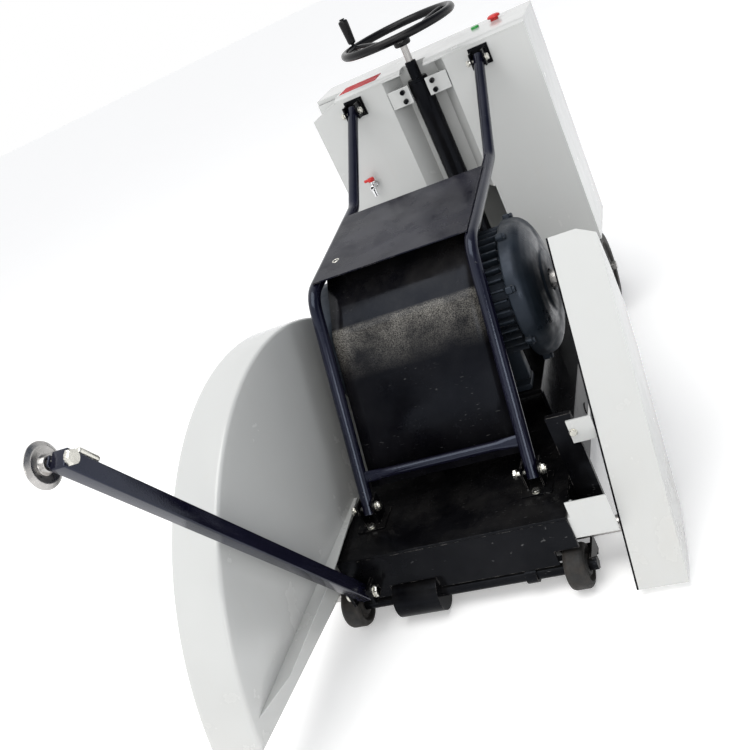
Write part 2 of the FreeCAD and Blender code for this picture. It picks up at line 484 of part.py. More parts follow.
# ---- save ---------------------------------------------------------------------------------------
os.makedirs("parts", exist_ok=True)
whole = Part.makeCompound(list(parts.values())).BoundBox
middle = vec(round((whole.XMin + whole.XMax) / 2, 1), round((whole.YMin + whole.YMax) / 2, 1), 0)
print("row origin in the drawing:", middle, "lowest point:", round(whole.ZMin, 3))
for name, shape in parts.items():
    shape = shape.translated(-middle)
    solids = [s if s.Volume > 0 else s.reversed() for s in shape.Solids]
    result = solids[0] if len(solids) == 1 else Part.makeCompound(solids)
    result.exportStep("parts/" + name + ".step")
    print(name, len(solids), "solids", "valid" if result.isValid() else "INVALID")
print(len(parts), "pieces")
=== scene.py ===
# %% [markdown]
# # A walk-behind concrete saw
# The machine is already drawn as packed solids that move on joints. This lesson dresses them:
# it keeps the flat sheet pieces and rounds their edges, makes the round and cast pieces again as
# smooth surfaces, and mixes a finish for every paint, metal and rubber.

# %% Load the packed machine
import bpy
import bmesh
import json
import math
import numpy as np
from mathutils import Matrix, Vector


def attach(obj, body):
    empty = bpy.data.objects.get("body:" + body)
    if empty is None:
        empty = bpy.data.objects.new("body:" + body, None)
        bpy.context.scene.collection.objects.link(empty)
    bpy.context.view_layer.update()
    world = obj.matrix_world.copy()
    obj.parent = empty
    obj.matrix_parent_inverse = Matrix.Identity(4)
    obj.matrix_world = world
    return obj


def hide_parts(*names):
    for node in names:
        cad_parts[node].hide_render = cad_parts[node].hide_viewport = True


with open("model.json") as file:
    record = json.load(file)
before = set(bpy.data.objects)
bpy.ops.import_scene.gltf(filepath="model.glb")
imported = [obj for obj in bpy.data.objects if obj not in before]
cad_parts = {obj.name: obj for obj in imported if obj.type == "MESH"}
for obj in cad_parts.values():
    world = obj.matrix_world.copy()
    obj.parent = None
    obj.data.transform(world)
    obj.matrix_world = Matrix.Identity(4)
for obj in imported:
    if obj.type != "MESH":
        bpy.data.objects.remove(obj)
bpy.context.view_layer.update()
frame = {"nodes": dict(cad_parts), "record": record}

# %% [markdown]
# The machine was drawn in millimetres with y = 0 at the frame's front plate, and saved with its
# origin under the middle of the whole. One small function turns drawing millimetres into scene
# metres, so that every number below reads like one on a workshop drawing.

# %% Drawing millimetres to scene metres
ORIGIN = np.array([35.5, 545.7, 0.0])


def metres(points):
    """Drawing points in mm become scene points: subtract the origin, divide by 1000."""
    return (np.asarray(points, float) - ORIGIN) / 1000.0


slot_of = {p["node"]: p["material_slot"] for p in frame["record"]["subparts"]}
body_name = {}
for name, nodes in frame["record"]["behaviour"]["bodies"].items():
    for node in nodes:
        body_name[node] = name
print("material slots:", sorted(set(slot_of.values())))

# %% [markdown]
# ## The camera
# The view is from the front, a little above and to the belt side, and it is tilted sideways, so
# the machine seems to lean. Aim, tilt and lens are set as plain angles.

# %% Camera
camera = bpy.data.objects.new("camera", bpy.data.cameras.new("camera"))
bpy.context.scene.collection.objects.link(camera)
VIEW_TURN, VIEW_DROP, VIEW_TILT = 25.1, 25.46, 27.1
heading = Matrix.Rotation(math.radians(VIEW_TURN), 3, "Z")
pitch = Matrix.Rotation(math.radians(90 - VIEW_DROP), 3, "X")
tilt = Matrix.Rotation(math.radians(-VIEW_TILT), 3, "Z")
camera.matrix_world = Matrix.Translation((0.667, -1.875, 1.253)) @ (heading @ pitch @ tilt).to_4x4()
camera.data.sensor_width = 36.0
camera.data.lens = 42.5
camera.data.shift_x = -0.039
camera.data.shift_y = 0.015
camera.data.clip_end = 60.0
bpy.context.scene.camera = camera
print("camera at", tuple(round(v, 3) for v in camera.location))

# %% [markdown]
# ## Floor and light
# The machine stands on a pale floor under big soft lamps: a large one overhead and two weak ones in
# front, left and right, so that gloss paint has long highlights to show.

# %% Floor
floor_mesh = bpy.data.meshes.new("floor")
floor_mesh.from_pydata([(-30, -30, -0.0005), (30, -30, -0.0005), (30, 30, -0.0005), (-30, 30, -0.0005)], [],
                       [(0, 1, 2, 3)])
floor = bpy.data.objects.new("floor", floor_mesh)
bpy.context.scene.collection.objects.link(floor)


def soft_lamp(name, place, aim, size, watts, colour):
    """A rectangular lamp at place, turned so that its face looks at aim."""
    data = bpy.data.lights.new(name, "AREA")
    data.shape = "RECTANGLE"
    data.size, data.size_y = size
    data.energy = watts
    data.color = colour
    lamp = bpy.data.objects.new(name, data)
    lamp.location = place
    lamp.rotation_euler = (Vector(aim) - Vector(place)).to_track_quat("-Z", "Y").to_euler()
    bpy.context.scene.collection.objects.link(lamp)
    return lamp


soft_lamp("overhead", (-0.4, -1.2, 4.4), (0, 0.1, 0.4), (3.4, 3.4), 105, (1.0, 0.99, 0.97))
soft_lamp("left_window", (-2.6, -4.2, 2.4), (0, 0, 0.5), (2.6, 2.2), 8, (1.0, 0.985, 0.95))
soft_lamp("front_window", (1.3, -3.4, 1.9), (0.35, -0.1, 0.45), (1.6, 1.2), 26, (1.0, 0.985, 0.95))

# %% [markdown]
# A room is never equally bright all round. The sky here is white on the left, behind and along the
# whole horizon, and falls to a cool grey high on the right, so the faces turned that way get a
# darker tone than the fronts.

# %% Sky
world = bpy.data.worlds.new("studio")
world.use_nodes = True
sky = world.node_tree
direction = sky.nodes.new("ShaderNodeTexCoord")
split = sky.nodes.new("ShaderNodeSeparateXYZ")
fade = sky.nodes.new("ShaderNodeMapRange")
fade.inputs["From Min"].default_value = -0.1
fade.inputs["From Max"].default_value = 0.6
climb_fade = sky.nodes.new("ShaderNodeMapRange")
climb_fade.inputs["From Min"].default_value = 0.12
climb_fade.inputs["From Max"].default_value = 0.5
both = sky.nodes.new("ShaderNodeMath")
both.operation = "MULTIPLY"
tone = sky.nodes.new("ShaderNodeMix")
tone.data_type = "RGBA"
tone.inputs[6].default_value = (1.0, 1.0, 1.0, 1)
tone.inputs[7].default_value = (0.10, 0.12, 0.16, 1)
sky.links.new(direction.outputs["Generated"], split.inputs[0])
sky.links.new(split.outputs["X"], fade.inputs["Value"])
sky.links.new(split.outputs["Z"], climb_fade.inputs["Value"])
sky.links.new(fade.outputs["Result"], both.inputs[0])
sky.links.new(climb_fade.outputs["Result"], both.inputs[1])
sky.links.new(both.outputs["Value"], tone.inputs["Factor"])
sky.links.new(tone.outputs[2], sky.nodes["Background"].inputs["Color"])
sky.nodes["Background"].inputs["Strength"].default_value = 1.0
bpy.context.scene.world = world
bpy.context.scene.view_settings.view_transform = "Standard"
print("sky:", len(sky.nodes), "nodes")

# %% [markdown]
# ## Finishes
# Every finish is mixed from noise: a broad one for colour drift, a fine one for bump, and masks
# for dust and wear. Patterns read Object coordinates. All pieces sit at the origin, so those are
# metres on the machine, and a scale of 100 gives spots about a centimetre across.


# %% A small kit for node graphs
class Finish:
    """A material and short ways to add nodes to it."""

    def __init__(self, name):
        self.mat = bpy.data.materials.new(name)
        self.mat.use_nodes = True
        self.tree = self.mat.node_tree
        self.shader = self.tree.nodes["Principled BSDF"]
        self.place = self.tree.nodes.new("ShaderNodeTexCoord").outputs["Object"]

    def join(self, a, b):
        """Link output a to input b."""
        self.tree.links.new(a, b)

    def stretched(self, scale):
        """Coordinates scaled differently along x, y and z."""
        node = self.tree.nodes.new("ShaderNodeMapping")
        node.inputs["Scale"].default_value = scale
        self.join(self.place, node.inputs["Vector"])
        return node.outputs["Vector"]

    def noise(self, scale, detail=4.0, rough=0.6, coords=None):
        """Cloudy grey values about 1 / scale metres across, with detail layers of finer cloud."""
        node = self.tree.nodes.new("ShaderNodeTexNoise")
        node.inputs["Scale"].default_value = scale
        node.inputs["Detail"].default_value = detail
        node.inputs["Roughness"].default_value = rough
        self.join(coords or self.place, node.inputs["Vector"])
        return node.outputs["Fac"]

    def band(self, value, low, high, out_low=0.0, out_high=1.0):
        """Stretch the values between low and high to out_low .. out_high, and clamp the rest."""
        node = self.tree.nodes.new("ShaderNodeMapRange")
        for key, number in (("From Min", low), ("From Max", high), ("To Min", out_low), ("To Max", out_high)):
            node.inputs[key].default_value = number
        self.join(value, node.inputs["Value"])
        return node.outputs["Result"]

    def sum(self, kind, a, b):
        """a kind b, such as ADD or MULTIPLY; either may be a number or another node's output."""
        node = self.tree.nodes.new("ShaderNodeMath")
        node.operation = kind
        for spot, part in ((0, a), (1, b)):
            if isinstance(part, (int, float)):
                node.inputs[spot].default_value = part
            else:
                self.join(part, node.inputs[spot])
        return node.outputs[0]

    def mix(self, amount, first, second):
        """A colour between first and second; either may be a colour or another node's output."""
        node = self.tree.nodes.new("ShaderNodeMix")
        node.data_type = "RGBA"
        self.join(amount, node.inputs["Factor"])
        for spot, colour in ((6, first), (7, second)):
            if isinstance(colour, tuple):
                node.inputs[spot].default_value = (*colour, 1)
            else:
                self.join(colour, node.inputs[spot])
        return node.outputs[2]

    def facing_up(self):
        """1 on faces that look at the sky, 0 on walls and undersides."""
        geometry = self.tree.nodes.new("ShaderNodeNewGeometry")
        split = self.tree.nodes.new("ShaderNodeSeparateXYZ")
        self.join(geometry.outputs["Normal"], split.inputs[0])
        return self.band(split.outputs["Z"], 0.25, 0.95)

    def height(self):
        """Metres above the floor."""
        split = self.tree.nodes.new("ShaderNodeSeparateXYZ")
        self.join(self.place, split.inputs[0])
        return split.outputs["Z"]

    def edges(self, reach):
        """1 close to sharp edges: where the rounded normal leaves the true one."""
        soft = self.tree.nodes.new("ShaderNodeBevel")
        soft.samples = 4
        soft.inputs["Radius"].default_value = reach
        geometry = self.tree.nodes.new("ShaderNodeNewGeometry")
        dot = self.tree.nodes.new("ShaderNodeVectorMath")
        dot.operation = "DOT_PRODUCT"
        self.join(soft.outputs[0], dot.inputs[0])
        self.join(geometry.outputs["Normal"], dot.inputs[1])
        return self.band(dot.outputs["Value"], 0.97, 0.8)

    def bump(self, height, strength, depth):
        """Let the height values, depth metres from low to high, tilt the shading."""
        node = self.tree.nodes.new("ShaderNodeBump")
        node.inputs["Strength"].default_value = strength
        node.inputs["Distance"].default_value = depth
        self.join(height, node.inputs["Height"])
        self.join(node.outputs[0], self.shader.inputs["Normal"])

    def set(self, **sockets):
        """Fill the shader's sockets: constants directly, patterns by a link."""
        for key, value in sockets.items():
            name = key.replace("_", " ")
            if isinstance(value, (int, float, tuple)):
                self.shader.inputs[name].default_value = value
            else:
                self.join(value, self.shader.inputs[name])


print("kit:", [name for name in vars(Finish) if not name.startswith("_")])

# %% [markdown]
# ### Gloss black paint
# Frame, tubes and motor are sprayed black. The paint mirrors the sky, with a painted blue sheen in its
# reflections, and it has fine scratches, thin pale dust on top faces and a little bare metal where corners
# get knocked.


# %% Black paint
def black_paint(name, tint, dust, gloss=0.16, wear=0.5, shine_level=0.12, dust_and_highlight_belt=None):
    """Dust lies on top faces; a (foot, top) pair of heights adds a pale speckled belt that brightens up to
    the top height: partly dust, partly a painted highlight below a fold.
    """
    f = Finish(name)
    drift = f.noise(7, 3)
    base = f.mix(f.band(drift, 0.35, 0.7), tint, tuple(c * 1.7 + 0.004 for c in tint))
    speck = f.band(f.noise(260, 6, 0.7), 0.6, 0.72)
    cloud = f.band(f.noise(11, 6, 0.65), 0.42, 0.7)
    lying = f.sum("MULTIPLY", f.sum("ADD", f.sum("MULTIPLY", f.facing_up(), 0.8), 0.14), cloud)
    dust_and_highlight = f.sum("MULTIPLY", f.sum("ADD", lying, f.sum("MULTIPLY", speck, 0.3)), dust)
    # The belt between foot and top is partly dust specks and partly a painted highlight that brightens up to
    # the fold.
    if dust_and_highlight_belt:
        foot, top = dust_and_highlight_belt
        rising = f.sum("MULTIPLY", f.band(f.height(), foot, top), f.band(f.height(), top + 0.006, top))
        belt_cloud = f.sum("MULTIPLY", rising, f.band(f.noise(13, 4), 0.34, 0.6, 0.15, 1.0))
        belt_specks = f.sum("MULTIPLY", belt_cloud, f.band(f.noise(480, 3, 0.65), 0.42, 0.60, 0.12, 1.0))
        dust_and_highlight = f.sum("MAXIMUM", dust_and_highlight, f.sum("MULTIPLY", belt_specks, 0.5))
    dust_and_highlight_mix = f.mix(dust_and_highlight, base, (0.42, 0.40, 0.36))
    scratch = f.band(f.noise(60, 3, 0.5, f.stretched((1, 9, 1.4))), 0.69, 0.72)
    scuff = f.sum("MULTIPLY", scratch, f.band(f.noise(5, 2), 0.5, 0.62, 0, 0.28))
    scuffed = f.mix(scuff, dust_and_highlight_mix, (0.25, 0.25, 0.25))
    chip = f.sum("MULTIPLY", f.edges(0.0022), f.band(f.noise(42, 5, 0.7), 0.5, 0.6, 0, wear))
    f.set(Base_Color=f.mix(chip, scuffed, (0.33, 0.31, 0.29)), Metallic=0.0, Specular_IOR_Level=shine_level)
    shine = f.band(f.noise(9, 5, 0.6), 0.38, 0.66, gloss * 0.6, gloss * 2.4)
    # The bluish specular tint paints a blue sheen into every reflection on the black paints.
    f.set(Roughness=f.sum("ADD", shine, f.sum("MULTIPLY", dust_and_highlight, 0.55)), Specular_Tint=(0.70, 0.80, 1.0, 1))
    ripple = f.sum("ADD", f.noise(230, 2), f.sum("MULTIPLY", f.noise(18, 3), 1.5))
    f.bump(f.sum("ADD", ripple, f.sum("MULTIPLY", speck, 0.4)), 0.12, 0.0012)
    return f.mat


finish = {}
finish["black_paint"] = black_paint("black_paint", (0.0015, 0.0015, 0.002), 0.02, 0.12, 0.5, 0.07)
# Tube and plate paint are near-black with a blue cast: the black is the paint, the blue cast is a painted
# sheen.
finish["tube_paint"] = black_paint("tube_paint", (0.003, 0.003, 0.009), 0.015, 0.09, 0.35, 0.4)
finish["plate_paint"] = black_paint("plate_paint", (0.003, 0.003, 0.008), 0.01, 0.16, 0.35, 0.14)
finish["black_motor"] = black_paint("motor_paint", (0.006, 0.009, 0.013), 0.04, 0.34, 0.3, 0.35)
print("black paints:", [name for name in finish])


# %% [markdown]
# ### White powder coat
# Covers, guard and console are white powder coat: a shallow orange-peel skin, greyer and warmer
# low down where slurry dries on it, with runs and fingermarks.


# %% White paint
def white_paint(name, tint, grime):
    """Tint with dirt = (splashes low down + runs + fingermarks) * grime, and chips at the edges."""
    f = Finish(name)
    cool = tuple(c * 0.965 for c in tint)
    base = f.mix(f.band(f.noise(3, 3), 0.35, 0.7), tint, cool)
    low = f.band(f.height(), 0.42, 0.02)
    stain = f.sum("MULTIPLY", low, f.band(f.noise(6, 7, 0.7), 0.36, 0.68))
    runs = f.band(f.noise(34, 4, 0.6, f.stretched((1, 1, 0.1))), 0.60, 0.72, 0, 0.25)
    marks = f.band(f.noise(19, 8, 0.75), 0.62, 0.7, 0, 0.32)
    dirt = f.sum("MULTIPLY", f.sum("ADD", f.sum("ADD", stain, runs), marks), grime)
    soiled = f.mix(dirt, base, (0.50, 0.45, 0.38))
    chip = f.sum("MULTIPLY", f.edges(0.002), f.band(f.noise(37, 5, 0.7), 0.58, 0.66, 0, 0.7))
    f.set(Base_Color=f.mix(chip, soiled, (0.28, 0.26, 0.25)), Specular_IOR_Level=0.5)
    f.set(Roughness=f.sum("ADD", f.band(f.noise(12, 4), 0.3, 0.8, 0.16, 0.30), f.sum("MULTIPLY", dirt, 0.4)))
    f.bump(f.sum("ADD", f.noise(310, 2), f.noise(9, 2)), 0.06, 0.0012)
    f.shader.inputs["Coat Weight"].default_value = 0.3
    f.shader.inputs["Coat Roughness"].default_value = 0.06
    return f.mat


finish["white_paint"] = white_paint("white_paint", (0.54, 0.55, 0.545), 0.22)
print("with white:", [name for name in finish])


# %% [markdown]
# ### Bare metals
# Zinc-plated bolts are mottled and faintly yellow; ground shafts have turning marks and oily
# brown stains; cast iron is dark and grainy; the tap is chrome.


# %% Metals
def bare_metal(name, tint, rough, mottle, grain, stain=0.0):
    """Metal mottled between tint and a paler tint, with brown stains where stain is over 0."""
    f = Finish(name)
    pale = tuple(min(1, c * 1.12) for c in tint)
    colour = f.mix(f.band(f.noise(mottle, 5, 0.65), 0.35, 0.68), tint, pale)
    rust = f.band(f.noise(mottle * 0.7, 7, 0.72), 0.56, 0.72, 0, stain)
    f.set(Base_Color=f.mix(rust, colour, (0.16, 0.085, 0.04)))
    f.set(Metallic=f.sum("SUBTRACT", 1.0, f.sum("MULTIPLY", rust, 0.8)))
    f.set(Roughness=f.sum("ADD", f.band(f.noise(mottle * 1.6, 4), 0.3, 0.8, rough * 0.7, rough * 1.4),
                          f.sum("MULTIPLY", rust, 0.4)))
    f.bump(f.noise(grain, 3, 0.6, f.stretched((3.0, 1, 1))), 0.12, 0.0006)
    return f.mat


finish["zinc"] = bare_metal("zinc", (0.62, 0.61, 0.56), 0.28, 120, 500, 0.10)
finish["steel"] = bare_metal("ground_steel", (0.42, 0.41, 0.40), 0.30, 60, 700, 0.35)
finish["grey_iron"] = bare_metal("grey_iron", (0.12, 0.12, 0.12), 0.55, 40, 260, 0.4)
finish["chrome"] = bare_metal("chrome", (0.72, 0.73, 0.74), 0.09, 70, 900)
print("with metals:", [name for name in finish])


# %% [markdown]
# ### Rubber and plastic
# Solid tyres are charcoal with ochre dust ground into the tread. Knob and handwheel are moulded
# plastic with a slightly pebbled skin.


# %% Rubber and plastic
def rubber(name, tint, dust):
    """Dull black with clouds of ochre dust."""
    f = Finish(name)
    cloud = f.band(f.noise(26, 7, 0.7), 0.40, 0.72, 0, dust)
    f.set(Base_Color=f.mix(cloud, tint, (0.24, 0.16, 0.10)))
    f.set(Roughness=f.band(f.noise(60, 5), 0.3, 0.8, 0.55, 0.85))
    f.bump(f.noise(420, 4, 0.7), 0.25, 0.0008)
    return f.mat


def moulded(name, tint, rough=0.28, dust=0.25, shine_level=0.5):
    """Plastic or smooth lacquer, paler where hands and dust have dulled it."""
    f = Finish(name)
    worn = f.band(f.noise(33, 5, 0.7), 0.5, 0.75, 0, dust)
    f.set(Base_Color=f.mix(worn, tint, tuple(c * 0.6 + 0.12 for c in tint)))
    f.set(Roughness=f.band(f.noise(50, 5), 0.3, 0.8, rough * 0.75, rough * 1.5))
    f.set(Specular_IOR_Level=shine_level)
    f.bump(f.noise(600, 3, 0.6), 0.10, 0.0005)
    return f.mat


finish["red_plastic"] = moulded("red_plastic", (0.55, 0.012, 0.010), 0.25)
finish["green_plastic"] = moulded("green_plastic", (0.02, 0.30, 0.05))
finish["red_paint"] = moulded("red_paint", (0.40, 0.004, 0.010), 0.45, 0.05, 0.1)
finish["black_plastic"] = moulded("black_plastic", (0.004, 0.004, 0.005), 0.24, 0.03, 0.22)
finish["black_rubber"] = rubber("belt_rubber", (0.015, 0.015, 0.015), 0.2)
finish["tyre_rubber"] = rubber("tyre_rubber", (0.006, 0.006, 0.006), 0.08)
finish["tank_plastic"] = moulded("tank_plastic", (0.62, 0.64, 0.62), 0.4)
print("with plastic and rubber:", len(finish), "finishes")

# %% Floor paint and first coat
concrete = Finish("studio_floor")
cloud = concrete.band(concrete.noise(2, 4), 0.3, 0.7)
concrete.set(Base_Color=concrete.mix(cloud, (0.93, 0.93, 0.93), (0.95, 0.95, 0.95)))
concrete.set(Roughness=0.9, Specular_IOR_Level=0.0)
concrete.set(Emission_Color=(1.0, 1.0, 1.0, 1), Emission_Strength=0.26)
floor.data.materials.append(concrete.mat)
for node, obj in frame["nodes"].items():
    obj.data.materials.clear()
    obj.data.materials.append(finish[slot_of[node]])
print("finishes:", len(finish))

# %% [markdown]
# ## Sheet metal and plates
# The console, covers, plates and welded frame are flat pieces whose shape is already right, but
# real folded sheet has no razor edges: each fold catches a thin line of light. Remodelling them
# would only copy numbers. It is simpler to take a copy of the solid, weld its loose triangles
# together, merge flat neighbours and let a Bevel modifier round every edge.


# %% Rounded copies of the flat pieces
def rounded_copy(node, width, segments=2):
    """A welded copy of a CAD node whose edges sharper than 30 degrees are rounded to width mm."""
    source = frame["nodes"][node]
    mesh = source.data.copy()
    mesh.name = node + "_sheet"
    bm = bmesh.new()
    bm.from_mesh(mesh)
    bmesh.ops.remove_doubles(bm, verts=bm.verts, dist=2e-5)
    bmesh.ops.dissolve_limit(bm, angle_limit=math.radians(2), verts=bm.verts, edges=bm.edges)
    bm.to_mesh(mesh)
    bm.free()
    piece = bpy.data.objects.new(node + "_sheet", mesh)
    bpy.context.scene.collection.objects.link(piece)
    mesh.polygons.foreach_set("use_smooth", np.ones(len(mesh.polygons), bool))
    edge = piece.modifiers.new("edge", "BEVEL")
    edge.width = width / 1000
    edge.segments = segments
    edge.limit_method = "ANGLE"
    edge.angle_limit = math.radians(30)
    flat = piece.modifiers.new("flat", "WEIGHTED_NORMAL")
    flat.keep_sharp = False
    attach(piece, body_name[node])
    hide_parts(node)
    return piece


flat_pieces = {"frame": 1.5, "deck_plate": 1.2, "console_risers": 2, "motor_stand": 1.5,
               "motor_terminal_box": 3,
               "belt_cover": 0.9, "belt_backplate": 0.9, "cover_brackets": 0.8, "guard_bracket": 0.7,
               "bail_plate": 0.9, "clevis_brackets": 0.8, "console_body": 0.6,
               "console_lid": 1.8, "console_insert": 1.0, "column_clamps": 0.9, "front_carriage": 1.2,
               "spindle_blocks": 1.5, "push_rod": 1.0}
sheets = {node: rounded_copy(node, width) for node, width in flat_pieces.items()}
sheets["bail_plate"].data.materials[0] = finish["plate_paint"]
print("rounded copies:", len(sheets))

# %% [markdown]
# ## Surfaces from two parameters
# Round pieces are grids. A grid of points u by v becomes faces by joining each point to its next
# neighbours; where the grid closes on itself, as round a tube, the last column joins the first.


# %% Grid faces and mesh building
def quads(count_u, count_v, wrap_u=True, wrap_v=False, start=0):
    """Corner numbers of a grid's faces: (u, v), (u+1, v), (u+1, v+1), (u, v+1), with wrap-around."""
    u = np.arange(count_u if wrap_u else count_u - 1)
    v = np.arange(count_v if wrap_v else count_v - 1)
    a, b = np.meshgrid(u, v, indexing="ij")
    a1, b1 = (a + 1) % count_u, (b + 1) % count_v
    corners = [a * count_v + b, a1 * count_v + b, a1 * count_v + b1, a * count_v + b1]
    return np.stack(corners, -1).reshape(-1, 4) + start


def gather(shapes):
    """Join several (points, faces) pairs into one pair by shifting the face numbers."""
    points, faces, start = [], [], 0
    for p, f in shapes:
        points.append(p)
        faces.append(f + start)
        start += len(p)
    return np.concatenate(points), np.concatenate(faces)


def make_piece(name, shapes, slot, body, stands_for=(), smooth_angle=40, material=None):
    """Build one object from (points in mm, faces) pairs, weld it, turn faces outward, let it ride."""
    points, faces = gather(shapes)
    mesh = bpy.data.meshes.new(name)
    mesh.vertices.add(len(points))
    mesh.vertices.foreach_set("co", metres(points).ravel())
    mesh.loops.add(faces.size)
    mesh.loops.foreach_set("vertex_index", faces.ravel())
    mesh.polygons.add(len(faces))
    mesh.polygons.foreach_set("loop_start", np.arange(0, faces.size, 4))
    mesh.update(calc_edges=True)
    bm = bmesh.new()
    bm.from_mesh(mesh)
    bmesh.ops.remove_doubles(bm, verts=bm.verts, dist=1e-5)
    bmesh.ops.dissolve_degenerate(bm, edges=bm.edges, dist=1e-6)
    bmesh.ops.recalc_face_normals(bm, faces=bm.faces)
    bm.to_mesh(mesh)
    bm.free()
    mesh.polygons.foreach_set("use_smooth", np.ones(len(mesh.polygons), bool))
    mesh.set_sharp_from_angle(angle=math.radians(smooth_angle))
    mesh.materials.append(material or finish[slot])
    piece = bpy.data.objects.new(name, mesh)
    bpy.context.scene.collection.objects.link(piece)
    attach(piece, body)
    if stands_for:
        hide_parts(*stands_for)
    print(name, len(mesh.polygons), "faces")
    return piece


# %% [markdown]
# A turned piece is a profile of (distance along the axis, radius) carried round the axis. Points
# on the axis itself are allowed at both ends, where the welding closes the pole.


# %% Turned shapes
def axis_frame(axis):
    """Three directions: along the axis and the two across it."""
    along = {"x": (1, 0, 0), "y": (0, 1, 0), "z": (0, 0, 1)}[axis] if isinstance(axis, str) else axis
    along = np.array(along, float) / np.linalg.norm(along)
    helper = np.array([0, 0, 1.0]) if abs(along[2]) < 0.9 else np.array([0, 1.0, 0])
    side = np.cross(helper, along)
    side /= np.linalg.norm(side)
    return along, side, np.cross(along, side)


def turned(profile, centre, axis, steps=64, closed=False, radius_of=None):
    """Point = centre + axis * a + (side * cos t + other * sin t) * r for each profile pair (a, r)."""
    profile = np.asarray(profile, float)
    along, side, other = axis_frame(axis)
    t = np.linspace(0, 2 * np.pi, steps, endpoint=False)[:, None]
    r = np.broadcast_to(profile[:, 1], (steps, len(profile)))
    if radius_of is not None:
        r = radius_of(t, r)
    ring = side * np.cos(t)[..., None] + other * np.sin(t)[..., None]
    points = np.array(centre, float) + along * profile[:, 0][None, :, None] + ring * r[..., None]
    return points.reshape(-1, 3), quads(steps, len(profile), True, closed)


def rounded_profile(corners, radius, closed=False, steps=4):
    """A polyline whose corners are replaced by short curves through the corner's two cut points."""
    p = np.asarray(corners, float)
    before = np.roll(p, 1, 0) - p
    after = np.roll(p, -1, 0) - p
    cut_a = np.minimum(radius, np.linalg.norm(before, axis=1) * 0.45)
    cut_b = np.minimum(radius, np.linalg.norm(after, axis=1) * 0.45)
    start = p + before / np.maximum(np.linalg.norm(before, axis=1), 1e-9)[:, None] * cut_a[:, None]
    end = p + after / np.maximum(np.linalg.norm(after, axis=1), 1e-9)[:, None] * cut_b[:, None]
    t = np.linspace(0, 1, steps + 1)[None, :, None]
    curve = start[:, None] * (1 - t) ** 2 + 2 * p[:, None] * t * (1 - t) + end[:, None] * t ** 2
    if closed:
        return curve.reshape(-1, p.shape[1])
    return np.concatenate([p[:1], curve[1:-1].reshape(-1, p.shape[1]), p[-1:]])


disc_points, disc_faces = turned([(0, 0), (0, 10), (4, 10), (4, 0)], (0, 0, 0), "z", 24)
print("a turned disc:", len(disc_points), "points", len(disc_faces), "faces")


# %% [markdown]
# A tube is a circle carried along a path. All the tubes here are bent in one flat plane, so the
# plane's normal is always one of the two directions across the tube and nothing can twist.


# %% Tubes along a flat path
def smooth_path(corners, bend, step=8.0):
    """Rounded corners sampled as true arcs of radius bend, straight runs divided evenly."""
    p = [np.array(c, float) for c in corners]
    runs = []
    last = p[0]
    for a, b, c in zip(p, p[1:], p[2:]):
        u = (a - b) / np.linalg.norm(a - b)
        w = (c - b) / np.linalg.norm(c - b)
        half = math.acos(np.clip(u @ w, -1, 1)) / 2
        cut = bend / math.tan(half)
        hub = b + (u + w) / np.linalg.norm(u + w) * bend / math.sin(half)
        first, second = b + u * cut - hub, b + w * cut - hub
        angle = math.acos(np.clip(first @ second / bend ** 2, -1, 1))
        t = np.linspace(0, 1, max(6, int(angle * bend / step)))[:, None]
        arc = (first * np.sin((1 - t) * angle) + second * np.sin(t * angle)) / math.sin(angle) + hub
        line = np.linspace(last, b + u * cut, max(2, int(np.linalg.norm(b + u * cut - last) / 40)))[:-1]
        runs += [line, arc[:-1]]
        last = b + w * cut
    runs.append(np.linspace(last, p[-1], max(2, int(np.linalg.norm(p[-1] - last) / 40))))
    return np.concatenate(runs)


def tube(path, radius, across, sides=28, flat_ends=0.0):
    """Point = path + (across * cos t + other * sin t) * radius; flat_ends squeezes the tips."""
    path = np.asarray(path, float)
    forward = np.gradient(path, axis=0)
    forward /= np.linalg.norm(forward, axis=1)[:, None]
    across = np.array(across, float)
    other = np.cross(forward, across)
    t = np.linspace(0, 2 * np.pi, sides, endpoint=False)
    travel = np.concatenate([[0], np.cumsum(np.linalg.norm(np.diff(path, axis=0), axis=1))])
    tip = np.minimum(travel, travel[-1] - travel)
    squeeze = 1 - flat_ends * np.clip(1 - tip / 45, 0, 1) ** 0.5
    wide = 1 + 0.35 * (1 - squeeze)
    shell = (path[:, None] + across * np.cos(t)[None, :, None] * radius * wide[:, None, None]
             + other[:, None] * np.sin(t)[None, :, None] * radius * squeeze[:, None, None])
    ends = [np.repeat(path[:1, None], sides, 1), shell, np.repeat(path[-1:, None], sides, 1)]
    shell = np.concatenate(ends)
    return shell.transpose(1, 0, 2).reshape(-1, 3), quads(sides, len(path) + 2)


elbow = smooth_path([(0, 0, 0), (0, 200, 0), (0, 300, 200)], 60)
print("an elbow's line:", elbow.shape[0], "points", round(float(elbow[-1, 2])), "mm high")


# %% [markdown]
# Lugs, feet and spokes need a block with soft corners. It is a globe pulled apart: each point of
# a globe of the corner radius is pushed to the block's corner in its own eighth of space, and the
# seams between the eighths stretch into the flat faces.


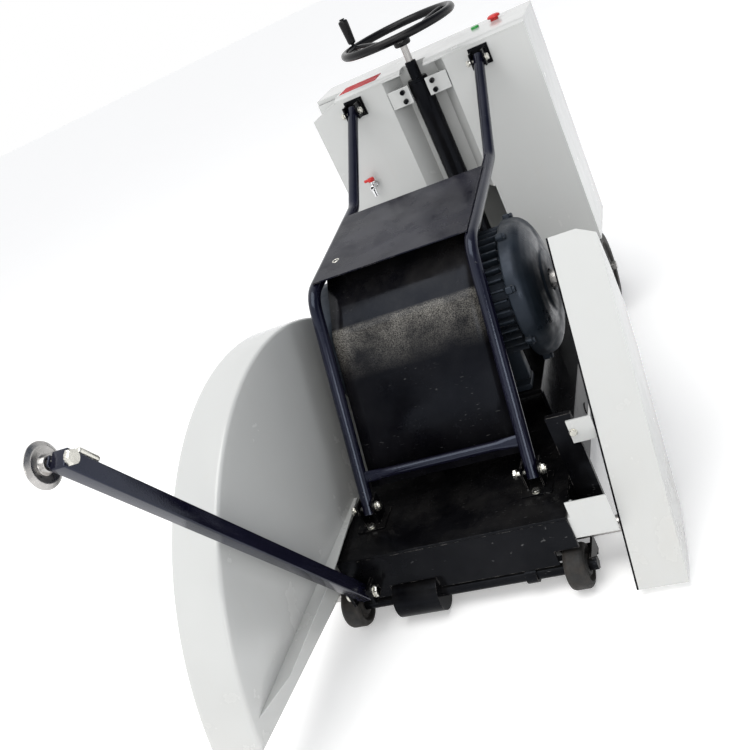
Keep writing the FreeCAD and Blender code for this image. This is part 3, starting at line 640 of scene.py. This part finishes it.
# %% Soft-cornered blocks
def soft_block(low, high, radius, steps=4, turn=None):
    """Point = middle + sign(d) * (half size - r) + d * r, for globe directions d."""
    low, high = np.asarray(low, float), np.asarray(high, float)
    half = (high - low) / 2
    radius = min(radius, half.min() * 0.98)
    s = (np.arange(steps + 1) / steps)
    quarter = s * np.pi / 2
    u = np.concatenate([quarter + k * np.pi / 2 for k in range(4)])
    signs_x = np.repeat([1, -1, -1, 1], steps + 1)
    signs_y = np.repeat([1, 1, -1, -1], steps + 1)
    v = np.concatenate([quarter - np.pi / 2, quarter])
    signs_z = np.repeat([-1, 1], steps + 1)
    d = np.stack([np.cos(u)[:, None] * np.cos(v), np.sin(u)[:, None] * np.cos(v),
                  np.broadcast_to(np.sin(v), (len(u), len(v)))], -1)
    sign = np.stack([np.broadcast_to(signs_x[:, None], d.shape[:2]),
                     np.broadcast_to(signs_y[:, None], d.shape[:2]),
                     np.broadcast_to(signs_z, d.shape[:2])], -1)
    points = sign * (half - radius) + d * radius
    caps = np.zeros((len(u), 1, 3)), np.zeros((len(u), 1, 3))
    caps[0][..., 2], caps[1][..., 2] = -half[2], half[2]
    points = np.concatenate([caps[0], points, caps[1]], 1).reshape(-1, 3)
    if turn is not None:
        points = points @ np.asarray(turn).T
    return points + (low + high) / 2, quads(len(u), len(v) + 2)


def hex_nut(centre, axis, across, height, bore=0.0):
    """A hexagon whose radius is apothem / cos(angle from the nearest flat), chamfered at both faces."""
    apothem = across / 2

    def six_sides(t, r):
        """The hexagon's radius at angle t, or r itself where that is smaller."""
        flat = apothem / np.cos((t + np.pi / 6) % (np.pi / 3) - np.pi / 6)
        return np.where(r > apothem * 1.2, flat, np.minimum(r, flat))

    chamfer = across * 0.07
    big = apothem * 1.3
    profile = [(0, bore), (0, apothem * 0.97), (chamfer, big), (height - chamfer, big),
               (height, apothem * 0.97), (height, bore)]
    return turned(profile, centre, axis, 48, False, six_sides)


print("helpers ready")

# %% [markdown]
# ## The two bails
# Two long bent tubes run from the front corners of the frame up over the motor and down behind
# it. Each lies in a plane of constant x. They are the machine's most visible line, so they follow
# a true path of straight runs and round bends.

# %% Bail tubes
BAIL_HALF, BAIL_R = 193.0, 14.5
BAIL_CORNERS = [(118, 205), (366, 646), (808, 680), (1117, 863)]
for name, x in (("bail_left", -BAIL_HALF), ("bail_right", BAIL_HALF)):
    line = smooth_path([(x, y, z) for y, z in BAIL_CORNERS], 70)
    make_piece(name + "_tube", [tube(line, BAIL_R, (1, 0, 0), 36)], "black_paint", "chassis", (name,), 40,
               finish["tube_paint"])
print("bail path points:", len(line))

# %% [markdown]
# ### Cross tube
# A shorter tube joins the bails near the bottom. Its ends are pressed flat where they are welded
# on, which the tube function does by squeezing its last 45 mm.

# %% Cross tube between the bails
foot, knee = np.array(BAIL_CORNERS[0], float), np.array(BAIL_CORNERS[1], float)
climb = (knee - foot) / np.linalg.norm(knee - foot)
behind = np.array([climb[1], -climb[0]])


def on_bail(along, back=0.0):
    """(y, z) at a distance up the bails' lower run and a distance behind their plane."""
    return foot + climb * along + behind * back


y, z = on_bail(82)
line = np.stack([np.linspace(-183, 183, 40), np.full(40, y), np.full(40, z)], 1)
pressed = tube(line, 11, (0, climb[0], climb[1]), 28, 0.55)
make_piece("cross_tube_pressed", [pressed], "black_paint", "chassis", ("cross_tube",), 40,
           finish["tube_paint"])
print("cross tube at", round(y), round(z))

# %% [markdown]
# ### Motor front cover
# Between the bails a black sheet shields the motor. It is one folded sheet: up the bails' slope,
# a soft fold, then a hood leaning back over the motor, with a cheek at each side. A profile line
# is carried straight along x, and Solidify gives it the thickness of sheet.

# %% Folded sheets
def carried_along_x(profile, x0, x1, steps=12):
    """Point = (x, profile point): the same (y, z) line repeated at every x from x0 to x1."""
    x = np.linspace(x0, x1, steps)
    line = np.asarray(profile, float)
    points = np.empty((steps, len(line), 3))
    points[..., 0], points[..., 1:] = x[:, None], line[None]
    return points.reshape(-1, 3), quads(steps, len(line), False)


def cheek(x):
    """Two rows of points, along the front edge and along the rear edge, joined by faces."""
    front_edge = np.array([on_bail(a, 15.2) for a in np.linspace(56, 405, 24)])
    rear_edge = np.array([on_bail(min(a, 380), 30) for a in np.linspace(56, 405, 24)])
    rows = np.stack([front_edge, rear_edge], 1)
    points = np.concatenate([np.full((24, 2, 1), x), rows], 2)
    return points.reshape(-1, 3), quads(24, 2, False)


COVER_HALF, HOOD_END = 178.0, (456.0, 659.0)
fold = rounded_profile([on_bail(56, 14.6), on_bail(404, 14.6), on_bail(421, 23), HOOD_END], 16, False, 8)
ridge_height = on_bail(412, 18)[1] / 1000
# The cover's paint has a pale speckled belt just under the ridge: partly dust, partly a painted highlight
# along the fold.
cover_paint = black_paint("cover_paint", (0.002, 0.002, 0.003), 0.03, 0.12, 0.5, 0.10,
                          (ridge_height - 0.10, ridge_height))
cover = make_piece("motor_cover_sheet", [carried_along_x(fold, -COVER_HALF, COVER_HALF)], "black_paint",
                   "chassis", ("motor_front_cover",), 50, cover_paint)
cheeks = make_piece("motor_cover_cheeks", [cheek(-COVER_HALF + 0.1), cheek(COVER_HALF - 0.1)], "black_paint",
                    "chassis")
for sheet_piece in (cover, cheeks):
    sheet = sheet_piece.modifiers.new("sheet", "SOLIDIFY")
    sheet.thickness = 0.0024
    sheet.offset = 0
print("cover folds at", round(ridge_height, 3), "and rises to z", round(HOOD_END[1]))

# %% [markdown]
# The plate on the bails has one eyelet, a zinc ring pressed into its hole.

# %% Eyelet
PLATE_SLOPE = 34 / 442
plate_z = 646 + PLATE_SLOPE * (470 - 366) + 14.7 + 3
ring_turn = np.linspace(0, 2 * np.pi, 40, endpoint=False)[:, None]
ring_wrap = np.linspace(0, 2 * np.pi, 12, endpoint=False)[None]
ring_r = 7.4 + 1.9 * np.cos(ring_wrap)
eyelet = np.stack([-150 + ring_r * np.cos(ring_turn), 470 + ring_r * np.sin(ring_turn),
                   plate_z + 0.9 * np.sin(ring_wrap) + PLATE_SLOPE * ring_r * np.sin(ring_turn)], -1)
make_piece("plate_eyelet", [(eyelet.reshape(-1, 3), quads(40, 12, True, True))], "zinc", "chassis")

# %% [markdown]
# ## Rear handle
# The push handle is one tube bent twice, with a round plate welded to each end. Its bends are in
# a sloping plane, and that plane's normal is the fixed direction across the tube.

# %% Rear handle
reach = np.array([0, 180, 100]) / np.hypot(180, 100)
line = smooth_path([(-250, 1398, 699), (-250, 1580, 800), (250, 1580, 800), (250, 1398, 699)], 60)
shapes = [tube(line, 14, (0, -reach[2], reach[1]), 32)]
for x in (-250, 250):
    shapes.append(soft_block((x - 30, 1400, 665), (x + 30, 1405, 735), 2.4))
make_piece("rear_handle_tube", shapes, "black_paint", "chassis", ("rear_handle",))

# %% [markdown]
# ## Lift column, handwheel and crank knob
# Turning the handwheel screws the front wheels down. The column is a thick tube with a turned
# cap. The wheel is moulded over a steel core: a fat round rim, three spokes that swell toward the
# hub, and a loose knob on a pin. The rim is a circle carried round a circle, a torus.

# %% Lift column
COLUMN = (0, 1173, 0)
wall = [(181, 30), (856, 30), (858, 28.6), (860, 30), (868, 27.5), (868, 16), (914, 16), (916, 14),
        (916, 10.2), (906, 10.2), (906, 12.2), (857, 12.2), (857, 22), (181, 22)]
column_tube = turned(rounded_profile(wall, 2.2, True, 3), COLUMN, "z", 72, True)
make_piece("lift_column_tube", [column_tube], "black_paint", "chassis", ("lift_column",))

# %% Handwheel
KNOB_TURN = math.radians(160.6)
knob_spot = (158 * math.cos(KNOB_TURN), 1173 + 158 * math.sin(KNOB_TURN), 0)


def torus(centre, big, small, steps=128, sides=28):
    """Point = centre + (big + small cos v) round z, small sin v along z."""
    u = np.linspace(0, 2 * np.pi, steps, endpoint=False)[:, None]
    v = np.linspace(0, 2 * np.pi, sides, endpoint=False)[None]
    r = big + small * np.cos(v)
    points = np.stack([r * np.cos(u), r * np.sin(u), small * np.sin(v) + 0 * u], -1) + np.array(centre, float)
    return points.reshape(-1, 3), quads(steps, sides, True, True)


def spoke(turn, steps=18, sides=20):
    """An oval tube from hub to rim: half width 13.5 to 10 mm, lifting from z 977 to 1000."""
    s = np.linspace(0, 1, steps)[:, None]
    t = np.linspace(0, 2 * np.pi, sides, endpoint=False)[None]
    out = np.array([math.cos(turn), math.sin(turn), 0])
    side = np.array([-out[1], out[0], 0])
    rise = 977 + 23 * (s * s * (3 - 2 * s))
    wide = 13.5 - 3.5 * s + 5.0 * np.clip(1 - s * 5, 0, 1) ** 2 + 4 * np.clip(s * 5 - 4, 0, 1) ** 2
    thick = 6.6 - 1.0 * s
    points = (out * (16 + 140 * s)[..., None] + side * (wide * np.cos(t))[..., None]
              + np.array([0, 0, 1]) * (rise + thick * np.sin(t))[..., None] + np.array([0, 1173, 0]))
    cap_a = np.repeat(points[:1].mean(1, keepdims=True), sides, 1)
    cap_b = np.repeat(points[-1:].mean(1, keepdims=True), sides, 1)
    points = np.concatenate([cap_a, points, cap_b])
    return points.transpose(1, 0, 2).reshape(-1, 3), quads(sides, steps + 2)


hub = [(960, 10.2), (960, 21), (964, 24), (986, 24), (992, 20), (992, 10.2)]
core = [torus((0, 1173, 1000), 158, 11), turned(rounded_profile(hub, 2.5, True), COLUMN, "z", 56, True)]
core += [spoke(KNOB_TURN + k * 2 * math.pi / 3) for k in range(3)]
pin = [(1000, 0), (1000, 5), (1082, 5), (1082, 8), (1085.5, 7.4), (1086, 0)]
core.append(turned(pin, knob_spot, "z", 32))
make_piece("handwheel_moulding", core, "black_plastic", "handwheel", ("handwheel",))

# %% Crank knob
grip = [(1014, 5.2), (1014, 9), (1017, 11.2), (1040, 12.4), (1066, 13.7), (1076, 13.9), (1080, 12.4),
        (1081, 9), (1081, 5.2)]
turned_grip = turned(rounded_profile(grip, 2, True), knob_spot, "z", 48, True)
make_piece("crank_knob_grip", [turned_grip], "black_plastic", "crank_knob", ("crank_knob",))

# %% [markdown]
# ## The electric motor
# A fan-cooled motor has a cast barrel with cooling fins, a bell at each end and a fan under a
# cowl. The fins stand out from the barrel like petals: one thin soft block, turned about the
# axle in nine-degree steps, with none underneath where the feet are.

# %% Motor barrel, fins and feet
MOTOR = (0.0, 478.0, 462.0)


def round_x(degrees):
    """Rotation matrix about the x axis."""
    c, s = math.cos(math.radians(degrees)), math.sin(math.radians(degrees))
    return np.array([[1, 0, 0], [0, c, -s], [0, s, c]])


def block_round_motor(x0, x1, r0, r1, thick, degrees, radius, steps=2):
    """A soft block from radius r0 to r1 of the motor, turned to an angle above the +y side."""
    centre = np.array([(x0 + x1) / 2, (r0 + r1) / 2, 0])
    size = np.array([x1 - x0, r1 - r0, thick])
    points, faces = soft_block(-size / 2, size / 2, radius, steps)
    return (points + centre) @ round_x(degrees).T + np.array(MOTOR), faces


barrel = [(-110, 118), (-110, 128), (230, 128), (230, 118)]
casting = [turned(rounded_profile(barrel, 2, True), MOTOR, "x", 128, True)]
casting += [block_round_motor(-104, 226, 122, 150, 4.2, 9 * k, 1.7) for k in range(40) if not 24 < k < 36]
for x in (-70, 160):
    for sign in (-1, 1):
        low, high = sorted((478 + sign * 80, 478 + sign * 140))
        casting.append(soft_block((x, low, 282), (x + 40, high, 296), 3))
        low, high = sorted((478 + sign * 82, 478 + sign * 112))
        casting.append(soft_block((x + 2, low, 290), (x + 38, high, 400), 4))
make_piece("motor_barrel", casting, "black_motor", "chassis", ("motor_housing",))
print("fins:", sum(1 for k in range(40) if not 24 < k < 36))

# %% [markdown]
# ### Drive end
# The bell at the belt side is a casting turned from one profile: a flat flange, a step, a dome
# and the shaft's neck. Eight ears carry its bolts.

# %% Drive bell
dome = [(231, 118), (231, 154), (234, 159.5), (257, 157.5), (266, 154), (276, 145), (284, 131),
        (290, 114), (294, 92), (294.5, 74), (299, 70), (300, 58), (300, 25), (264, 25), (264, 100)]
bell = [turned(rounded_profile(dome, 4, True), MOTOR, "x", 144, True)]
ears, heads = [], []
for k in range(8):
    angle = 45 * k + 20
    ears.append(block_round_motor(231.5, 249, 148, 169.5, 17, angle, 4, 4))
    spot = np.array(MOTOR) + round_x(angle) @ np.array([248, 162.5, 0])
    heads.append(hex_nut(spot, "x", 12, 6))
make_piece("motor_bell_casting", bell + ears, "black_motor", "chassis", ("motor_drive_bell",))
make_piece("motor_bell_bolts", heads, "black_motor", "chassis")
tail = [(-110, 118), (-110, 146), (-114, 150), (-128, 150), (-130, 146), (-130, 52), (-134, 49),
        (-134, 25), (-118, 25)]
tail_casting = turned(rounded_profile(tail, 2, True), MOTOR, "x", 96, True)
make_piece("motor_tail_casting", [tail_casting], "black_motor", "chassis", ("motor_rear_bell",))

# %% [markdown]
# ### Fan cowl
# The cowl is pressed sheet with a rolled front edge. Air enters through twelve slots in its end.
# The slots are real holes in the CAD sheet, so a rounded copy keeps them.

# %% Fan cowl
sheets["motor_fan_cowl"] = rounded_copy("motor_fan_cowl", 0.5)
print("cowl edges rounded; rounded copies:", len(sheets))

# %% [markdown]
# ## Blade guard
# The guard is a hollow half-disc of folded sheet, open below. Its skin is one surface: up the
# inner wall, across the rim and down the outer wall, carried round the arc. Each point's radius is
# never less than the straight bottom edge allows, and Solidify gives the sheet its thickness.

# %% Guard skin
GUARD_Y, GUARD_Z, GUARD_R = 161.0, -10.0, 646.0
GUARD_IN, GUARD_OUT = -269.0, -378.0
CHORD_RISE, CHORD_SLOPE = 106.0, 0.13


def guard_skin(steps=220):
    """Point = (x, centre + radius * (cos t, sin t)), radius = max(profile radius, chord radius at t)."""
    lean = math.atan(CHORD_SLOPE)
    reach = math.asin(CHORD_RISE / GUARD_R / math.hypot(1, CHORD_SLOPE))
    t = np.linspace(reach - lean, math.pi - reach - lean, steps)
    chord = CHORD_RISE / (np.sin(t) + CHORD_SLOPE * np.cos(t))
    wall = np.linspace(0, 1, 26)
    edge = rounded_profile([(GUARD_IN, GUARD_R - 30), (GUARD_IN, GUARD_R), (GUARD_OUT, GUARD_R),
                            (GUARD_OUT, GUARD_R - 30)], 9, False, 5)
    inner = chord[:, None] + (GUARD_R - 30 - chord[:, None]).clip(0) * wall[None, :-1]
    rim = np.maximum(edge[None, :, 1], chord[:, None])
    radius = np.concatenate([inner, rim, inner[:, ::-1]], 1)
    x = np.concatenate([np.full(25, GUARD_IN), edge[:, 0], np.full(25, GUARD_OUT)])
    points = np.stack([np.broadcast_to(x, radius.shape), GUARD_Y + radius * np.cos(t)[:, None],
                       GUARD_Z + radius * np.sin(t)[:, None]], -1)
    return points.reshape(-1, 3), quads(steps, len(x), False)


guard = make_piece("guard_skin", [guard_skin()], "white_paint", "chassis", ("blade_guard",), 50)
sheet = guard.modifiers.new("sheet", "SOLIDIFY")
sheet.thickness = 0.0022
sheet.offset = -1
sheet.use_even_offset = False
print("guard reaches y", GUARD_Y - GUARD_R, "to", GUARD_Y + GUARD_R)

# %% [markdown]
# ## Wheels
# The small front wheels and the larger rear ones are solid rubber on an iron hub. Profile pairs
# are (distance along the axle, radius): shoulders are rounded, and a moulding line and two shallow
# grooves run round the tread.

# %% Wheels
FRONT_AXLE, REAR_AXLE = (0, 8, 47), (0, 1230, 115)


def wheel(x0, x1, radius, hub, axle, grooves):
    """A tyre profile with rounded shoulders, grooves in the tread and a hub standing in a dish."""
    web = radius * 0.66
    profile = [(x0 + 1, 12.6), (x0 + 1, hub - 1), (x0 + 8, hub + 1), (x0 + 9, web), (x0 + 1, web + 4),
               (x0, radius - 9), (x0 + 3, radius - 3), (x0 + 9, radius)]
    for k in range(grooves):
        spot = x0 + (x1 - x0) * (k + 1) / (grooves + 1)
        profile += [(spot - 2.2, radius), (spot - 1.2, radius - 2.2),
                    (spot + 1.2, radius - 2.2), (spot + 2.2, radius)]
    profile += [(x1 - 9, radius), (x1 - 3, radius - 3), (x1, radius - 9), (x1 - 1, web + 4), (x1 - 9, web),
                (x1 - 8, hub + 1), (x1 - 1, hub - 1), (x1 - 1, 12.6)]
    return turned(rounded_profile(profile, 1.6, True, 3), axle, "x", 96, True)


for name, x0, x1, radius, hub, axle in (("front_wheel_left", -295, -249, 47, 22, FRONT_AXLE),
                                        ("front_wheel_right", 218, 264, 47, 22, FRONT_AXLE),
                                        ("rear_wheel_left", -318, -266, 115, 30, REAR_AXLE),
                                        ("rear_wheel_right", 266, 318, 115, 30, REAR_AXLE)):
    grooves = 0 if radius < 60 else 2
    make_piece(name + "_tyre", [wheel(x0, x1, radius, hub, axle, grooves)], "tyre_rubber", name, (name,))

# %% [markdown]
# ## Guide disc
# A thin steel disc with a dished web runs on the chalk line ahead of the cut. It turns on the end
# of the parked guide arm.

# %% Guide disc
arm_up = math.radians(58.4)
tip = (0, -22 - 857 * math.cos(arm_up), 106 + 857 * math.sin(arm_up))
disc = [(-260, 6.1), (-260, 12), (-256, 14), (-253, 27), (-257, 35), (-255, 36), (-250, 28), (-252, 15),
        (-243, 12), (-243, 6.1)]
pressing = turned(rounded_profile(disc, 1.3, True), tip, "x", 72, True)
make_piece("guide_disc_pressing", [pressing], "steel", "guide_wheel", ("guide_wheel",))

# %% [markdown]
# ## Guide arm
# The arm is square tube, drawn lying flat and then turned up about its hinge, as the real one is.
# At its tip a bolt carries the disc, and a round-ended steel pin locks it.

# %% Guide arm
ARM_X, ARM_Y, ARM_Z, ARM_LENGTH = -222.0, -22.0, 106.0, 875.0
LIFTED = round_x(-58.4)


def lifted(shape):
    """Turn a shape about the arm's hinge from lying flat to its parked angle."""
    points, faces = shape
    hinge = np.array([0, ARM_Y, ARM_Z])
    return (points - hinge) @ LIFTED.T + hinge, faces


tip_y = ARM_Y - ARM_LENGTH + 18
arm_tip = (ARM_X - 15, ARM_Y - ARM_LENGTH + 12, ARM_Z - 15)
arm_root = (ARM_X + 15, ARM_Y + 16, ARM_Z + 15)
bush = [(ARM_X - 15.4, 8.2), (ARM_X - 15.4, 13), (ARM_X + 15.4, 13), (ARM_X + 15.4, 8.2)]
arm = [soft_block(arm_tip, arm_root, 3, 5),
       turned(bush, (0, ARM_Y, ARM_Z), "x", 40, True),
       soft_block((ARM_X - 20, tip_y - 9, ARM_Z - 9), (ARM_X - 14, tip_y + 22, ARM_Z + 9), 2.5, 3)]
make_piece("guide_arm_tube", [lifted(a) for a in arm], "black_paint", "guide_arm", ("guide_arm",), 40,
           finish["tube_paint"])
stop_pin = rounded_profile([(44, 0), (44, 6), (84, 6), (84, 0)], 4.5)
axle = [turned([(-264, 0), (-264, 6), (-198, 6), (-198, 0)], (0, tip_y, ARM_Z), "x", 28),
        hex_nut((ARM_X + 15, tip_y, ARM_Z), "x", 22, 10), hex_nut((-266, tip_y, ARM_Z), "x", 19, 5.8),
        turned(stop_pin, (ARM_X, ARM_Y - ARM_LENGTH, ARM_Z + 25), "y", 28),
        turned([(12, 0), (12, 4), (24, 4), (24, 0)], (ARM_X, ARM_Y - ARM_LENGTH + 70, ARM_Z), "z", 24)]
make_piece("guide_arm_pins", [lifted(a) for a in axle], "zinc", "guide_arm", (), 35)

# %% [markdown]
# ## Fasteners
# Each zinc bolt has a chamfered head, a washer and, on the far side, a nut with a stub of thread.
# A hexagon's radius is its apothem over the cosine of the angle from the nearest flat; chamfers
# come from capping that radius near both faces.


# %% Bolts and nuts
def washer(centre, axis, radius, start, thick=1.6, bore=0.0):
    """A flat ring from start to start + thick along the axis, with rounded corners."""
    end = start + thick
    ring = rounded_profile([(start, bore), (start, radius), (end, radius), (end, bore)], 0.4, False, 2)
    return turned(ring, centre, axis, 36)


def bolt_through(x, spot, left, right, head, shank):
    """Head at the left end of a long shank, nut and stub at the right end, washers on the ears."""
    centre = (x, *spot)
    parts = [turned([(-left, 0), (-left, shank), (right, shank), (right, 0)], centre, "x", 28)]
    parts += [hex_nut((x - left, *spot), "x", head, 7.5), hex_nut((x + 21.7, *spot), "x", head, 7)]
    parts += [washer(centre, "x", head * 0.66, 20.1), washer(centre, "x", head * 0.66, -21.7)]
    return parts


low_hole, top_hole = on_bail(14), (1107.0, 857.0)
zinc = []
for x in (-BAIL_HALF, BAIL_HALF):
    zinc += bolt_through(x, low_hole, 40, 31, 19, 6)
    zinc += bolt_through(x, top_hole, 34, 28, 15, 5)
    zinc += [hex_nut((x, 95.5, 185.8), "z", 15.5, 6.2), washer((x, 95.5, 185), "z", 9.2, 0)]
zinc += [hex_nut((306, 116, 289), "y", 14, 5), washer((306, 120.4, 289), "y", 8.5, 0)]
make_piece("zinc_fasteners", zinc, "zinc", "chassis", ("zinc_bolts",), 30)

pivot = (0, -22, 106)
pivot_bolt = [turned([(-257, 0), (-257, 8), (-184, 8), (-184, 0)], pivot, "x", 32),
              hex_nut((-258.5, -22, 106), "x", 24, 8.4), washer(pivot, "x", 14, -250.1),
              hex_nut((-192.4, -22, 106), "x", 24, 8.4), washer(pivot, "x", 14, -194)]
make_piece("guide_pivot_bolt", pivot_bolt, "zinc", "chassis", ("guide_arm_bolt",), 30)

# %% Clamp screws
sockets = []
for x in (-46, 46):
    for z in (824, 850):
        well = [(1138, 0), (1138, 3.3), (1134, 3.3), (1134, 6.2), (1135, 7), (1144, 7), (1144, 0)]
        sockets.append(turned(well, (x, 0, z), "y", 36))
make_piece("clamp_socket_screws", sockets, "black_paint", "chassis", ("clamp_screws",), 30)
print("bolts made, column sockets:", len(sockets))

# %% [markdown]
# ## Water tap
# A chrome tap on the console feeds the blade. Its body is a turned bar with a collar and a
# hexagon against the panel, a stem rises to the red lever, and a short chrome outlet points down.
# A black plug closes the front end of the bar.

# %% Water tap
TAP_X, TAP_Z = -237, 636
bar = [(1108, 0), (1108, 6.5), (1110, 8.4), (1122, 9), (1128, 9), (1131, 7.2), (1136, 7.2), (1138, 9),
       (1142, 9), (1142, 8), (1170, 8), (1170, 0)]
stem = [(-2, 0), (-2, 7), (4, 7), (6, 5), (16, 5), (16, 0)]
spout = [(-26, 4.5), (-26, 8), (-22, 8), (-19, 7.4), (-8, 7.4), (-8, 10), (-1, 9), (-1, 4.5)]
tap = [turned(rounded_profile(bar, 0.8), (TAP_X, 0, TAP_Z), "y", 40),
       turned(stem, (TAP_X, 1126, TAP_Z), "z", 32),
       turned(rounded_profile(spout, 0.8, True), (TAP_X, 1116, TAP_Z), "z", 32, True),
       hex_nut((TAP_X, 1142, TAP_Z), "y", 17.5, 5.8)]
make_piece("water_tap_body", tap, "chrome", "chassis", ("water_tap",))
mouth = [(1107.9, 0), (1107.9, 5.4), (1110.5, 5.4), (1110.5, 0)]
make_piece("water_tap_plug", [turned(mouth, (TAP_X, 0, TAP_Z), "y", 28)], "black_plastic", "chassis")
lever = [turned(rounded_profile([(16.4, 0), (16.4, 10), (22, 11), (27, 9.5), (28, 6), (28, 0)], 1.2),
                (TAP_X, 1126, TAP_Z), "z", 40),
         soft_block((TAP_X - 22, 1121.5, TAP_Z + 18), (TAP_X + 1, 1130.5, TAP_Z + 26), 3)]
make_piece("tap_lever_grip", lever, "red_plastic", "tap_lever", ("tap_lever",))

# %% [markdown]
# ## Start and stop
# Two push buttons stand in the console's lid: a flush green one to start, and a red mushroom to
# stop. Both are turned.

# %% Buttons
start = [(897, 0), (897, 12), (909.5, 12), (911, 10.5), (911, 0)]
make_piece("start_button_cap", [turned(rounded_profile(start, 1), (170, 1330, 0), "z", 40)], "green_plastic",
           "start_button", ("start_button",))
stop = [(897, 0), (897, 12), (911, 12), (911.2, 17), (913, 19), (917, 18.4), (920, 13), (921, 6), (921, 0)]
make_piece("stop_button_cap", [turned(rounded_profile(stop, 1), (230, 1330, 0), "z", 48)], "red_plastic",
           "stop_button", ("stop_button",))

# %% [markdown]
